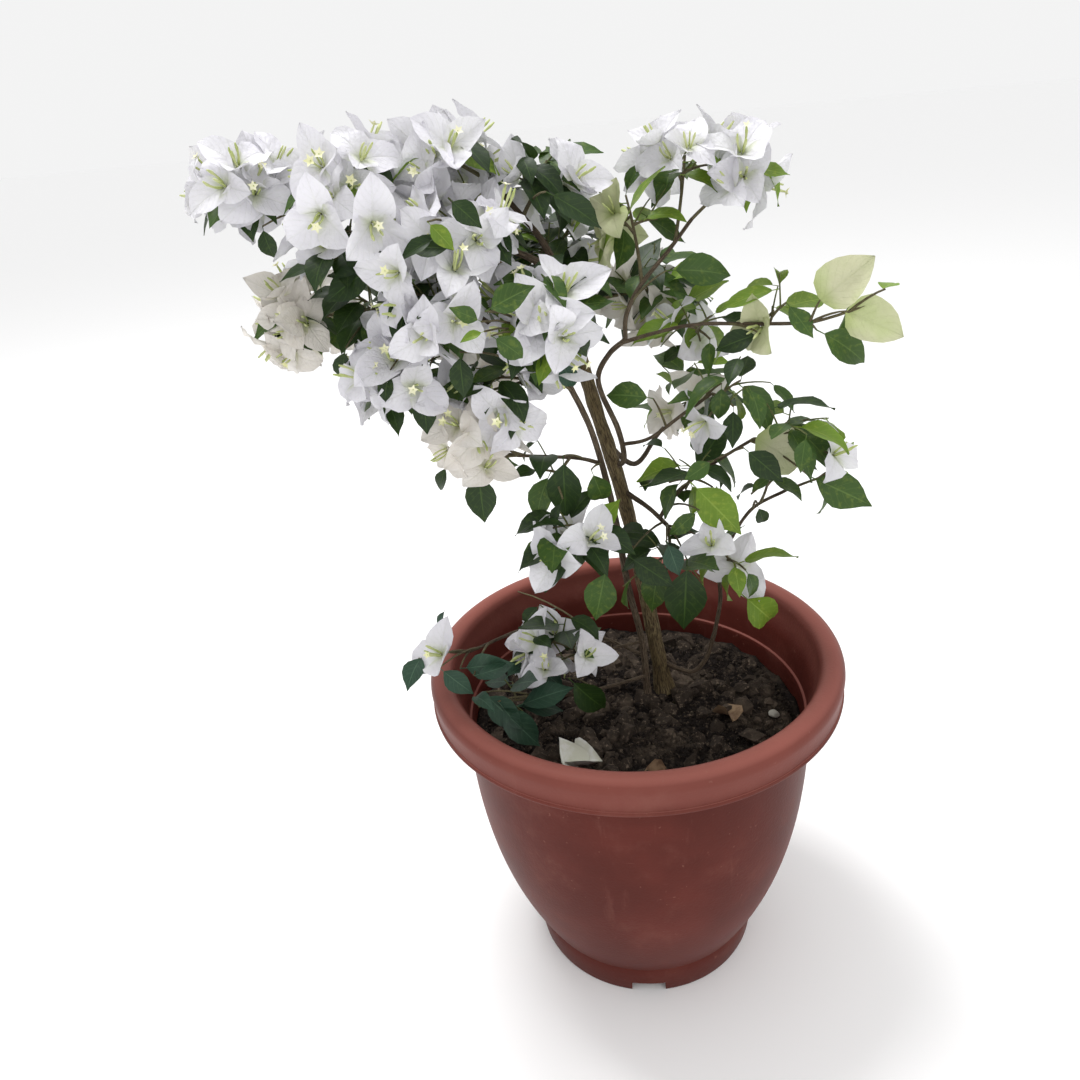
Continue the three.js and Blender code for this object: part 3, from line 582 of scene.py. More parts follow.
@dataclass(frozen=True)
class LeafFinish(Finish):
    """A green leaf: paler midrib and side veins, faint mottling, waxy surface."""

    vein: Colour
    fleck: Colour
    flecks: float
    shade: float = 0.72

    def dress(self, shader: Shader) -> None:
        """Set the leaf's surface.

        Args:
            shader: The new material.
        """
        rib, wave, _ = shader.veins((0.008, 0.035), 0.55, 46.0)
        side = shader.times(shader.ramp(wave, 0.86, 1.0), 0.22)
        veins = shader.math("MAXIMUM", shader.times(rib, 0.6), side)
        place = shader.place()
        mottle = shader.spots(place, 260, 2, 0.52, 0.68)
        darker = tuple(c * self.shade for c in self.colour[:3]) + (1.0,)
        base = shader.mix(shader.spots(place, 24, 2, 0.3, 0.7), darker, self.colour)
        flecked = shader.mix(shader.times(mottle, self.flecks), base, self.fleck)
        shader.set(Base_Color=shader.mix(veins, flecked, self.vein))
        shader.set(Roughness=0.46, Specular_IOR_Level=0.32)
        shader.bump(shader.math("SUBTRACT", 1.0, veins), 0.0004, 0.5)
        shader.let_through(self.vein, 0.14)


@dataclass(frozen=True)
class BractFinish(Finish):
    """A papery bract: fine veins that fan out from the midrib, greener at its foot."""

    shade: Colour
    foot: Colour
    through: float = 0.22

    def dress(self, shader: Shader) -> None:
        """Set the bract's surface.

        Args:
            shader: The new material.
        """
        rib, wave, along = shader.veins((0.006, 0.04), 0.9, 38.0)
        veins = shader.math("MAXIMUM", rib, shader.times(shader.ramp(wave, 0.7, 1.0), 0.5))
        place = shader.place()
        base = shader.mix(shader.spots(place, 30, 3, 0.35, 0.7), self.shade, self.colour)
        tinted = shader.mix(shader.times(shader.ramp(along, 0.3, 0.0), 0.75), base, self.foot)
        shader.set(Base_Color=shader.mix(shader.times(veins, 0.09), tinted, self.foot))
        shader.set(Roughness=0.62, Specular_IOR_Level=0.3)
        crinkle = shader.times(shader.noise(place, 150, 3), 1.3)
        shader.bump(shader.math("SUBTRACT", crinkle, shader.times(veins, 0.22)), 0.0016, 0.85)
        shader.let_through(self.colour, self.through)


@dataclass(frozen=True)
class PlainFinish(Finish):
    """A small plant part or stone of one colour with faint mottling."""

    other: Colour
    roughness: float = 0.55
    scale: float = 90.0

    def dress(self, shader: Shader) -> None:
        """Set the mottled surface."""
        mottle = shader.spots(shader.place(), self.scale, 3, 0.38, 0.64)
        shader.set(Base_Color=shader.mix(mottle, self.other, self.colour), Roughness=self.roughness)
        shader.bump(mottle, 0.0003, 0.35)


@dataclass(frozen=True)
class BarkFinish(Finish):
    """Bark with grain along the limb, cracks and paler patches."""

    pale: Colour
    crack: Colour

    def dress(self, shader: Shader) -> None:
        """Set the bark's surface, on the limb's own bark coordinates.

        Args:
            shader: The new material.
        """
        bark = shader.node("ShaderNodeAttribute", attribute_name="bark").outputs["Vector"]
        grain = shader.noise(bark, 5.0, 5, 0.65)
        drawn_out = shader.node("ShaderNodeMapping", {"Vector": bark, "Scale": (1, 1, 0.22)})
        fibre = shader.noise(drawn_out.outputs[0], 9.0, 3, 0.6)
        base = shader.mix(shader.spots(shader.place(), 36, 3, 0.36, 0.62), self.colour, self.pale)
        lined = shader.mix(shader.ramp(fibre, 0.58, 0.4), base, self.crack)
        cracked = shader.mix(shader.ramp(grain, 0.46, 0.3), lined, self.crack)
        shader.set(Base_Color=cracked, Roughness=0.78, Specular_IOR_Level=0.25)
        shader.bump(shader.math("ADD", grain, fibre), 0.0007, 0.8)


@dataclass(frozen=True)
class PlasticFinish(Finish):
    """Moulded terracotta-brown plastic, with dust, scuffs and faint mould marks, painted light on its
    upward faces and its rim's lip, and painted shade towards its foot.
    """

    # A deeper colour for a random mottle, which also paints shade towards the foot.
    deep: Colour
    dust: Colour
    # Painted light: the lit colour that upward faces and the rim's lip are mixed towards.
    painted_light_tone: Colour
    # Heights in metres over which the painted light on the rim's lip comes in.
    lip: tuple[float, float] = (0.272, 0.288)

    def dress(self, shader: Shader) -> None:
        """Set the plastic's surface.

        Args:
            shader: The new material.
        """
        place = shader.place()
        height = shader.split(place)["Z"]
        # Painted shade: the deeper colour takes over towards the foot, so the pot darkens towards its
        # bottom; higher up this mix is a random mottle.
        cloud = shader.times(shader.spots(place, 7, 4, 0.35, 0.68, 0.6), shader.ramp(height, -0.05, 0.12))
        base = shader.mix(cloud, self.deep, self.colour)
        film = shader.times(shader.spots(place, 15, 5, 0.5, 0.78, 0.7), 0.26)
        streak = shader.times(shader.spots(shader.place((1, 1, 0.16)), 60, 4, 0.6, 0.78, 0.7), 0.16)
        speck = shader.times(shader.spots(place, 170, 2, 0.69, 0.76), 0.4)
        scuff = shader.times(shader.spots(shader.place((1, 1, 14)), 26, 2, 0.72, 0.76, 0.8), 0.22)
        dusty = film
        for layer in (streak, speck, scuff):
            dusty = shader.math("ADD", dusty, layer)
        # Painted light: upward faces and the top of the rim are mixed towards the lit colour, as if lit
        # from above.
        upward = shader.split(shader.node("ShaderNodeTexCoord").outputs["Normal"])["Z"]
        painted_top_light = shader.times(shader.ramp(upward, 0.25, 0.95), 0.55)
        painted_lip_light = shader.times(shader.ramp(height, *self.lip), 0.26)
        base_with_painted_light = shader.mix(shader.math("MAXIMUM", painted_top_light, painted_lip_light), base, self.painted_light_tone)
        rough = shader.node("ShaderNodeMapRange", {"Value": dusty, "To Min": 0.43, "To Max": 0.8})
        shader.set(Base_Color=shader.mix(dusty, base_with_painted_light, self.dust), Specular_IOR_Level=0.07)
        shader.set(Roughness=rough.outputs["Result"])
        fine = shader.noise(place, 420, 2)
        shader.bump(shader.math("ADD", fine, shader.times(cloud, 0.8)), 0.0005, 0.35)


@dataclass(frozen=True)
class SoilFinish(Finish):
    """Dark moist potting soil with paler dry bits."""

    dry: Colour

    def dress(self, shader: Shader) -> None:
        """Set the soil's surface.

        Args:
            shader: The new material.
        """
        place = shader.place()
        patch = shader.times(shader.spots(place, 30, 4, 0.46, 0.64, 0.65), 0.45)
        factor = shader.math("MAXIMUM", patch, shader.spots(place, 260, 3, 0.54, 0.7, 0.75))
        shader.set(Base_Color=shader.mix(factor, self.colour, self.dry))
        shader.set(Roughness=0.93, Specular_IOR_Level=0.2)
        shader.bump(shader.noise(place, 240, 4, 0.7), 0.0022, 0.9)


# ---- Geometry node trees -----------------------------------------------------------------


def link(name: str, data: Any) -> bpy.types.Object:
    """Put a mesh, curve, camera or lamp in the scene.

    Args:
        name: The object's name.
        data: What it holds.

    Returns:
        The object.
    """
    item = bpy.data.objects.new(name, data)
    bpy.context.scene.collection.objects.link(item)
    return item


def plain_mesh(item: bpy.types.Object) -> bpy.types.Mesh:
    """Turn what an object's modifiers make into a plain mesh, and remove them.

    Args:
        item: The object.

    Returns:
        The mesh.
    """
    graph = bpy.context.evaluated_depsgraph_get()
    made = bpy.data.meshes.new_from_object(item.evaluated_get(graph))
    item.modifiers.clear()
    return made


class GeometryTree(NodeTree):
    """A geometry node tree under construction, with named inputs."""

    def __init__(self, name: str) -> None:
        """Start a tree that gives out one geometry.

        Args:
            name: Its name.
        """
        super().__init__(bpy.data.node_groups.new(name, "GeometryNodeTree"))
        self.inputs = self.node("NodeGroupInput")
        self.outputs = self.node("NodeGroupOutput")
        self.tree.interface.new_socket("Geometry", in_out="OUTPUT", socket_type="NodeSocketGeometry")

    def take(self, **kinds: str) -> list[Any]:
        """Add named inputs.

        Args:
            **kinds: What each one holds, such as Float or Material.

        Returns:
            The sockets that give their values.
        """
        for name, kind in kinds.items():
            self.tree.interface.new_socket(name, in_out="INPUT", socket_type="NodeSocket" + kind)
        return [self.inputs.outputs[name] for name in kinds]

    def named(self, name: str, kind: str = "FLOAT") -> Any:
        """Return the values that the points hold under a name."""
        made = self.node("GeometryNodeInputNamedAttribute", {"Name": name}, data_type=kind)
        return made.outputs["Attribute"]

    def store(self, geometry: Any, name: str, value: Any, kind: str = "FLOAT") -> Any:
        """Keep a value on each point under a name.

        Args:
            geometry: What the points are on.
            name: The name.
            value: The value.
            kind: Its type.

        Returns:
            The geometry that holds it.
        """
        inputs = {"Geometry": geometry, "Name": name, "Value": value}
        settings = {"data_type": kind, "domain": "POINT"}
        return self.node("GeometryNodeStoreNamedAttribute", inputs, **settings).outputs[0]

    def instances(self, points: Any, templates: Any, index: Any, turn: Any, scale: Any) -> Any:
        """Set a template of a collection on each point.

        Args:
            points: The points.
            templates: The collection.
            index: Which template it is.
            turn: Its turn as angles.
            scale: Its size.

        Returns:
            The placed templates.
        """
        inputs = {"Collection": templates, "Separate Children": True, "Reset Children": True}
        choice = self.node("GeometryNodeCollectionInfo", inputs)
        inputs = {
            "Points": points, "Instance": choice.outputs[0], "Pick Instance": True,
            "Instance Index": index, "Scale": scale,
            "Rotation": self.node("FunctionNodeEulerToRotation", {0: turn}).outputs[0],
        }
        return self.node("GeometryNodeInstanceOnPoints", inputs).outputs[0]

    def finish(self, geometry: Any, material: Any) -> None:
        """End the tree with real geometry in its material."""
        real = self.node("GeometryNodeRealizeInstances", {"Geometry": geometry}).outputs[0]
        dressed = self.node("GeometryNodeSetMaterial", {"Geometry": real, "Material": material})
        self.feed(self.outputs.inputs["Geometry"], dressed.outputs["Geometry"])

    def mesh(self, name: str, host: bpy.types.Mesh, values: dict[str, Any]) -> bpy.types.Object:
        """Run the tree on a mesh and keep what it makes.

        Args:
            name: The new object's name.
            host: The mesh that the tree works on.
            values: The tree's inputs, by name.

        Returns:
            An object with the plain mesh.
        """
        carrier = link(name + "_host", host)
        modifier = carrier.modifiers.new("nodes", "NODES")
        modifier.node_group = self.tree
        for item in self.tree.interface.items_tree:
            if item.in_out == "INPUT" and item.name in values:
                modifier[item.identifier] = values[item.name]
        made = plain_mesh(carrier)
        bpy.data.objects.remove(carrier)
        made.name = name
        return link(name, made)


def spray_tree() -> GeometryTree:
    """Build the tree that sets templates on points, each turned and sized by its point."""
    tree = GeometryTree("spray")
    points, templates, size, material = tree.take(
        Geometry="Geometry", Templates="Collection", Size="Float", Material="Material"
    )
    cloud = tree.node("GeometryNodeMeshToPoints", {"Mesh": points}).outputs[0]
    scale = tree.times(tree.named("size"), size)
    turn, index = tree.named("turn", "FLOAT_VECTOR"), tree.named("kind", "INT")
    tree.finish(tree.instances(cloud, templates, index, turn, scale), material)
    return tree


def limb_tree() -> GeometryTree:
    """Build the tree that makes round limbs with bark relief along the curves of an object."""
    bark_scale = 70.0
    tree = GeometryTree("limb")
    curves, sides, relief, lumps, material = tree.take(
        Curves="Object", Sides="Int", Relief="Float", Lumps="Float", Material="Material"
    )
    source = tree.node("GeometryNodeObjectInfo", {"Object": curves}).outputs["Geometry"]
    paths = tree.store(source, "run", tree.node("GeometryNodeSplineParameter").outputs["Length"])
    circle = tree.node("GeometryNodeCurvePrimitiveCircle", {"Resolution": sides, "Radius": 1.0})
    share = tree.node("GeometryNodeSplineParameter").outputs["Factor"]
    profile = tree.store(circle.outputs[0], "round", share)
    radius = tree.node("GeometryNodeInputRadius").outputs[0]
    inputs = {"Curve": paths, "Profile Curve": profile, "Scale": radius, "Fill Caps": True}
    tube = tree.node("GeometryNodeCurveToMesh", inputs)
    angle = tree.times(tree.named("round"), FULL_TURN)
    run = tree.times(tree.named("run"), bark_scale)
    inputs = {0: tree.math("COSINE", angle), 1: tree.math("SINE", angle), 2: run}
    bark = tree.node("ShaderNodeCombineXYZ", inputs).outputs[0]
    marked = tree.store(tube.outputs[0], "bark", bark, "FLOAT_VECTOR")
    heights = []
    for scale, detail, amount in ((2.6, 4.0, relief), (0.7, 1.0, lumps)):
        pattern = tree.node("ShaderNodeTexNoise", {"Vector": bark, "Scale": scale, "Detail": detail})
        heights.append(tree.times(tree.math("SUBTRACT", pattern.outputs[0], 0.5), amount))
    inputs = {0: tree.node("GeometryNodeInputNormal").outputs[0], "Scale": tree.math("ADD", *heights)}
    offset = tree.node("ShaderNodeVectorMath", inputs, operation="SCALE").outputs[0]
    moved = tree.node("GeometryNodeSetPosition", {"Geometry": marked, "Offset": offset})
    smooth = tree.node("GeometryNodeSetShadeSmooth", {"Geometry": moved.outputs[0]})
    tree.finish(smooth.outputs[0], material)
    return tree


def scatter_tree() -> GeometryTree:
    """Build the tree that scatters templates over a surface, many small and few large."""
    turn_seed, kind_seed, last_kind, skew = 7, 3, 5, 3.0
    tree = GeometryTree("scatter")
    surface, templates, density, small, large, seed, material = tree.take(
        Geometry="Geometry", Templates="Collection", Density="Float", Smallest="Float",
        Largest="Float", Seed="Int", Material="Material",
    )
    inputs = {"Mesh": surface, "Density": density, "Seed": seed}
    spread = tree.node("GeometryNodeDistributePointsOnFaces", inputs).outputs["Points"]
    share = tree.node("FunctionNodeRandomValue", {"Seed": seed}, data_type="FLOAT").outputs[1]
    skewed = tree.math("POWER", share, skew)
    size = tree.math("MULTIPLY_ADD", skewed, tree.math("SUBTRACT", large, small), small)
    inputs = {1: (FULL_TURN,) * 3, "Seed": turn_seed}
    turn = tree.node("FunctionNodeRandomValue", inputs, data_type="FLOAT_VECTOR").outputs[0]
    inputs = {5: last_kind, "Seed": kind_seed}
    kind = tree.node("FunctionNodeRandomValue", inputs, data_type="INT").outputs[2]
    tree.finish(tree.instances(spread, templates, kind, turn, size), material)
    return tree


# ---- Meshes ------------------------------------------------------------------------------


def mesh_from(
    name: str, points: Sequence[Sequence[float]], faces: Sequence[Sequence[int]],
    uv: Optional[np.ndarray] = None, smooth: bool = True,
) -> bpy.types.Mesh:
    """Make a mesh from points and faces.

    Args:
        name: The mesh's name.
        points: Its vertices in millimetres.
        faces: Its faces as rows of vertex numbers.
        uv: A place on the pattern for each vertex.
        smooth: Whether its faces are shaded smooth.

    Returns:
        The mesh in metres.
    """
    mesh = bpy.data.meshes.new(name)
    mesh.from_pydata([tuple(p) for p in np.array(points) * MM], [], [tuple(f) for f in faces])
    if uv is not None:
        layer = mesh.uv_layers.new(name="UVMap")
        for loop in mesh.loops:
            layer.data[loop.index].uv = uv[loop.vertex_index]
    mesh.polygons.foreach_set("use_smooth", [smooth] * len(mesh.polygons))
    mesh.update()
    return mesh


def grid_faces(rows: int, columns: int, closed: bool = False) -> list[tuple[int, ...]]:
    """List the faces of a grid of vertices.

    Args:
        rows: How many rows of vertices it has.
        columns: How many vertices a row has.
        closed: Whether each row's end joins its start.

    Returns:
        Faces that look up on a grid whose rows run on along +Y and columns along +X.
    """
    faces = []
    for i in range(rows - 1):
        low, high = i * columns, (i + 1) * columns
        for j in range(columns if closed else columns - 1):
            k = (j + 1) % columns
            faces.append((low + j, low + k, high + k, high + j))
    return faces


def ring(radius: float, height: float, sides: int) -> list[Point]:
    """Return points round the upright axis."""
    turns = [FULL_TURN * (k + 0.5) / sides for k in range(sides)]
    return [(radius * math.cos(turn), radius * math.sin(turn), height) for turn in turns]


def stacked_mesh(name: str, start: Point, rings: Sequence[Sequence[Point]], end: Point) -> bpy.types.Mesh:
    """Make a closed mesh from rings between two points on the upright axis.

    Args:
        name: The mesh's name.
        start: The middle of the underside, in millimetres.
        rings: The rings, outward from there, up and back in.
        end: The point that closes the last ring.

    Returns:
        The mesh, its faces outward.
    """
    sides = len(rings[0])
    points = [start, *(point for row in rings for point in row), end]
    last = len(points) - 1
    faces = [tuple(1 + v for v in f) for f in grid_faces(len(rings), sides, closed=True)]
    for k in range(sides):
        after = (k + 1) % sides
        faces.append((0, 1 + after, 1 + k))
        faces.append((last, last - sides + k, last - sides + after))
    return mesh_from(name, points, faces)


def template_group(name: str, meshes: Sequence[bpy.types.Mesh]) -> bpy.types.Collection:
    """Hold template meshes in a collection, in their order.

    Args:
        name: The collection's name.
        meshes: The templates.

    Returns:
        The collection.
    """
    group = bpy.data.collections.new(name)
    for i, mesh in enumerate(meshes):
        group.objects.link(bpy.data.objects.new(f"{name}_{i}", mesh))
    return group


def drop_groups(*groups: bpy.types.Collection) -> None:
    """Remove template collections and what is in them.

    Args:
        *groups: The collections.
    """
    for group in groups:
        for item in list(group.objects):
            bpy.data.objects.remove(item)
        bpy.data.collections.remove(group)


@dataclass(frozen=True)
class Blade:
    """A leaf or bract as a thin sheet of a few faces, its root at the origin, along +Y."""

    length: float
    width: float
    stations: tuple[float, ...]
    outline: tuple[float, ...]
    stalk: float = 0.0
    stalk_radii: tuple[float, float] = (0.55, 0.4)
    stalk_lap: float = 1.12
    fold: float = 0.0
    cup: float = 0.0
    droop: float = 0.0
    ruffle: float = 0.0
    waves: float = 9.0
    twist: float = 0.0
    columns: int = 5
    phase: float = 0.0

    def mesh(self, name: str) -> bpy.types.Mesh:
        """Make the blade's mesh, with its stalk.

        Args:
            name: The mesh's name.

        Returns:
            The mesh.
        """
        points, places = [], []
        height, forward, before = 0.0, self.stalk, 0.0
        for share, wide in zip(self.stations, self.outline):
            step = (share - before) * self.length
            angle, turn = self.droop * share, self.twist * share
            forward += step * math.cos(angle)
            height -= step * math.sin(angle)
            before = share
            for j in range(self.columns):
                side = 2 * j / (self.columns - 1) - 1
                out = side * wide * self.width / 2
                lift = abs(out) * self.fold + self.cup * out * out / self.width
                lift += self.ruffle * side * side * math.sin(self.waves * share + self.phase + side)
                across = out * math.cos(turn) - lift * math.sin(turn)
                rise = out * math.sin(turn) + lift * math.cos(turn)
                points.append((across, forward + rise * math.sin(angle), height + rise * math.cos(angle)))
                places.append((j / (self.columns - 1), share))
        faces = grid_faces(len(self.stations), self.columns)
        if self.stalk > 0:
            self.add_stalk(points, places, faces)
        return mesh_from(name, points, faces, np.array(places))

    def add_stalk(
        self, points: list[Point], places: list[tuple[float, float]], faces: list[tuple[int, ...]],
    ) -> None:
        """Add the three-sided stalk.

        Args:
            points: The blade's points.
            places: Their places on its map.
            faces: Its faces.
        """
        base = len(points)
        for y, radius in zip((0.0, self.stalk * self.stalk_lap), self.stalk_radii):
            for k in range(3):
                turn = FULL_TURN * k / 3
                points.append((radius * math.cos(turn), y, radius * math.sin(turn)))
                places.append((0.5, 0.0))
        for k in range(3):
            after = (k + 1) % 3
            faces.append((base + after, base + k, base + 3 + k, base + 3 + after))


LEAF = Blade(
    40, 24, (0.0, 0.1, 0.24, 0.4, 0.56, 0.72, 0.86, 1.0),
    (0.06, 0.46, 0.86, 1.0, 0.9, 0.62, 0.27, 0.015), stalk=6,
)
BRACT = Blade(
    34, 27, (0.0, 0.08, 0.22, 0.4, 0.58, 0.75, 0.89, 1.0),
    (0.14, 0.68, 0.97, 1.0, 0.88, 0.64, 0.32, 0.015), columns=7,
)
LEAF_SHAPES = (
    dict(width=24, fold=0.16, droop=0.35, ruffle=0.7),
    dict(width=22, fold=0.34, droop=0.8, ruffle=0.9, phase=1.0),
    dict(width=24, fold=0.2, droop=1.15, ruffle=1.1, phase=2.0),
    dict(width=20, fold=0.28, droop=0.6, ruffle=1.4, twist=0.55, phase=3.0),
    dict(width=23, fold=0.12, droop=0.15, ruffle=1.0, twist=-0.35, phase=4.0),
    dict(width=17, fold=0.45, droop=0.95, ruffle=0.6, twist=-0.6, phase=5.0),
)
BRACT_SHAPES = (
    dict(width=27, fold=0.24, cup=0.25, droop=0.7, ruffle=1.5),
    dict(width=29, fold=0.14, cup=0.1, droop=1.05, ruffle=2.2, phase=1.3, waves=10),
    dict(width=26, fold=0.3, cup=0.35, droop=-0.2, ruffle=1.5, phase=2.1),
    dict(width=28, fold=0.12, cup=0.15, droop=1.4, ruffle=2.3, phase=3.7, waves=11, twist=0.35),
    dict(width=25, fold=0.36, cup=0.25, droop=0.45, ruffle=1.9, phase=5.2, twist=-0.45),
)


def blades(name: str, form: Blade, shapes: Sequence[dict[str, float]]) -> list[bpy.types.Mesh]:
    """Make a leaf or bract in each of its shapes."""
    return [replace(form, **shape).mesh(f"{name}_{i}") for i, shape in enumerate(shapes)]


@dataclass(frozen=True)
class Flower:
    """The small true flower in a blossom: a slender tube, and its mouth once it has opened."""

    length: float = 19.0
    belly: float = 8.0
    bends: tuple[float, ...] = (0.4, 1.6, 2.8)
    radii: tuple[float, ...] = (0.7, 1.05, 0.75, 0.75, 1.1, 0.6)
    sides: int = 5
    lobe: float = 3.9
    notch: float = 2.0
    dishes: tuple[float, ...] = (0.9, 1.7)
    throat: float = 0.4

    def tubes(self) -> list[bpy.types.Mesh]:
        """Make the tubes, straight and bent, along +Y."""
        sides, count = self.sides, len(self.radii)
        meshes = []
        for i, bend in enumerate(self.bends):
            middle, end = np.array([0.0, self.belly, bend]), np.array([0.0, self.length, -bend * 0.4])
            path = BendCurve(np.zeros(3), middle, end)
            points = []
            for row, radius in enumerate(self.radii):
                share = row / (count - 1)
                centre, along = path.at(share), path.tangent(share)
                points += [centre + turned(along, FULL_TURN * k / sides) * radius for k in range(sides)]
            faces = [tuple(reversed(f)) for f in grid_faces(count, sides, closed=True)]
            faces.append(tuple(range(sides)))
            faces.append(tuple(reversed(range((count - 1) * sides, count * sides))))
            meshes.append(mesh_from(f"floret_{i}", points, faces))
        return meshes

    def mouths(self) -> list[bpy.types.Mesh]:
        """Make the opened mouths: small stars of five lobes round +Y."""
        meshes = []
        for i, dish in enumerate(self.dishes):
            points = [(0.0, -self.throat, 0.0)]
            for k in range(10):
                turn = math.pi * k / 5
                radius = self.lobe if k % 2 == 0 else self.notch
                points.append((radius * math.cos(turn), dish * radius / self.lobe, radius * math.sin(turn)))
            faces = [(0, 1 + (k + 1) % 10, 1 + k) for k in range(10)]
            meshes.append(mesh_from(f"star_{i}", points, faces, smooth=False))
        return meshes


def crumb_templates(count: int, rough: float, fineness: int = 1) -> list[bpy.types.Mesh]:
    """Make uneven crumbs, 1 m across, to be set at their size.

    Args:
        count: How many there are.
        rough: How uneven they are.
        fineness: How often their faces are split.

    Returns:
        The meshes.
    """
    lump_scale, next_crumb, flatness = 2.4, 7.3, 0.75
    meshes = []
    for i in range(count):
        meshes.append(bpy.data.meshes.new(f"crumb_{i}"))
        shape = bmesh.new()
        bmesh.ops.create_icosphere(shape, subdivisions=fineness, radius=0.5)
        for vertex in shape.verts:
            lump = noise.noise(vertex.co * lump_scale + Vector((i * next_crumb, 0, 0)))
            vertex.co *= 1 + rough * lump
            vertex.co.z *= flatness
        shape.to_mesh(meshes[-1])
        shape.free()
    return meshes


# ---- Growth ------------------------------------------------------------------------------


class Kind(Enum):
    """The kinds of small piece that the plant is dressed with."""

    # Leaf kinds with painted light and shade: deep leaves partly stand for leaves in shade, bright ones
    # partly for sunlit and backlit leaves, and the shaded ones are bluish painted shade.
    LEAF_DEEP = "leaves_deep"
    LEAF_MID = "leaves_mid"
    LEAF_BRIGHT = "leaves_bright"
    LEAF_BLUE = "leaves_bluish"
    BRACT_WHITE = "bracts_white"
    # Painted shade: white bracts given a cream tint where they stand in shade.
    BRACT_CREAM = "bracts_cream"
    BRACT_GREEN = "bracts_green"
    FLORET = "flower_tubes"
    STAR = "flower_stars"
    BLOSSOM = "blossom"
    BARE = "bare_twig"


BRACT_KINDS = {WHITE: Kind.BRACT_WHITE, CREAM: Kind.BRACT_CREAM, GREEN: Kind.BRACT_GREEN}
LEAF_KINDS = (Kind.LEAF_DEEP, Kind.LEAF_MID, Kind.LEAF_BRIGHT, Kind.LEAF_BLUE)
LEAF_DEEP, LEAF_MID, LEAF_BRIGHT, LEAF_BLUE = LEAF_KINDS
BRACT_GREEN, BLOSSOM, BARE = Kind.BRACT_GREEN, Kind.BLOSSOM, Kind.BARE
FLOWER = Flower()


@dataclass(frozen=True)
class Standout:
    """A leaf, bract or blossom that shows by itself, on its own twig from a limb."""

    mass: str
    kind: Kind
    limb: str
    share: float
    root: Point
    tip: Point
    template: int = 0


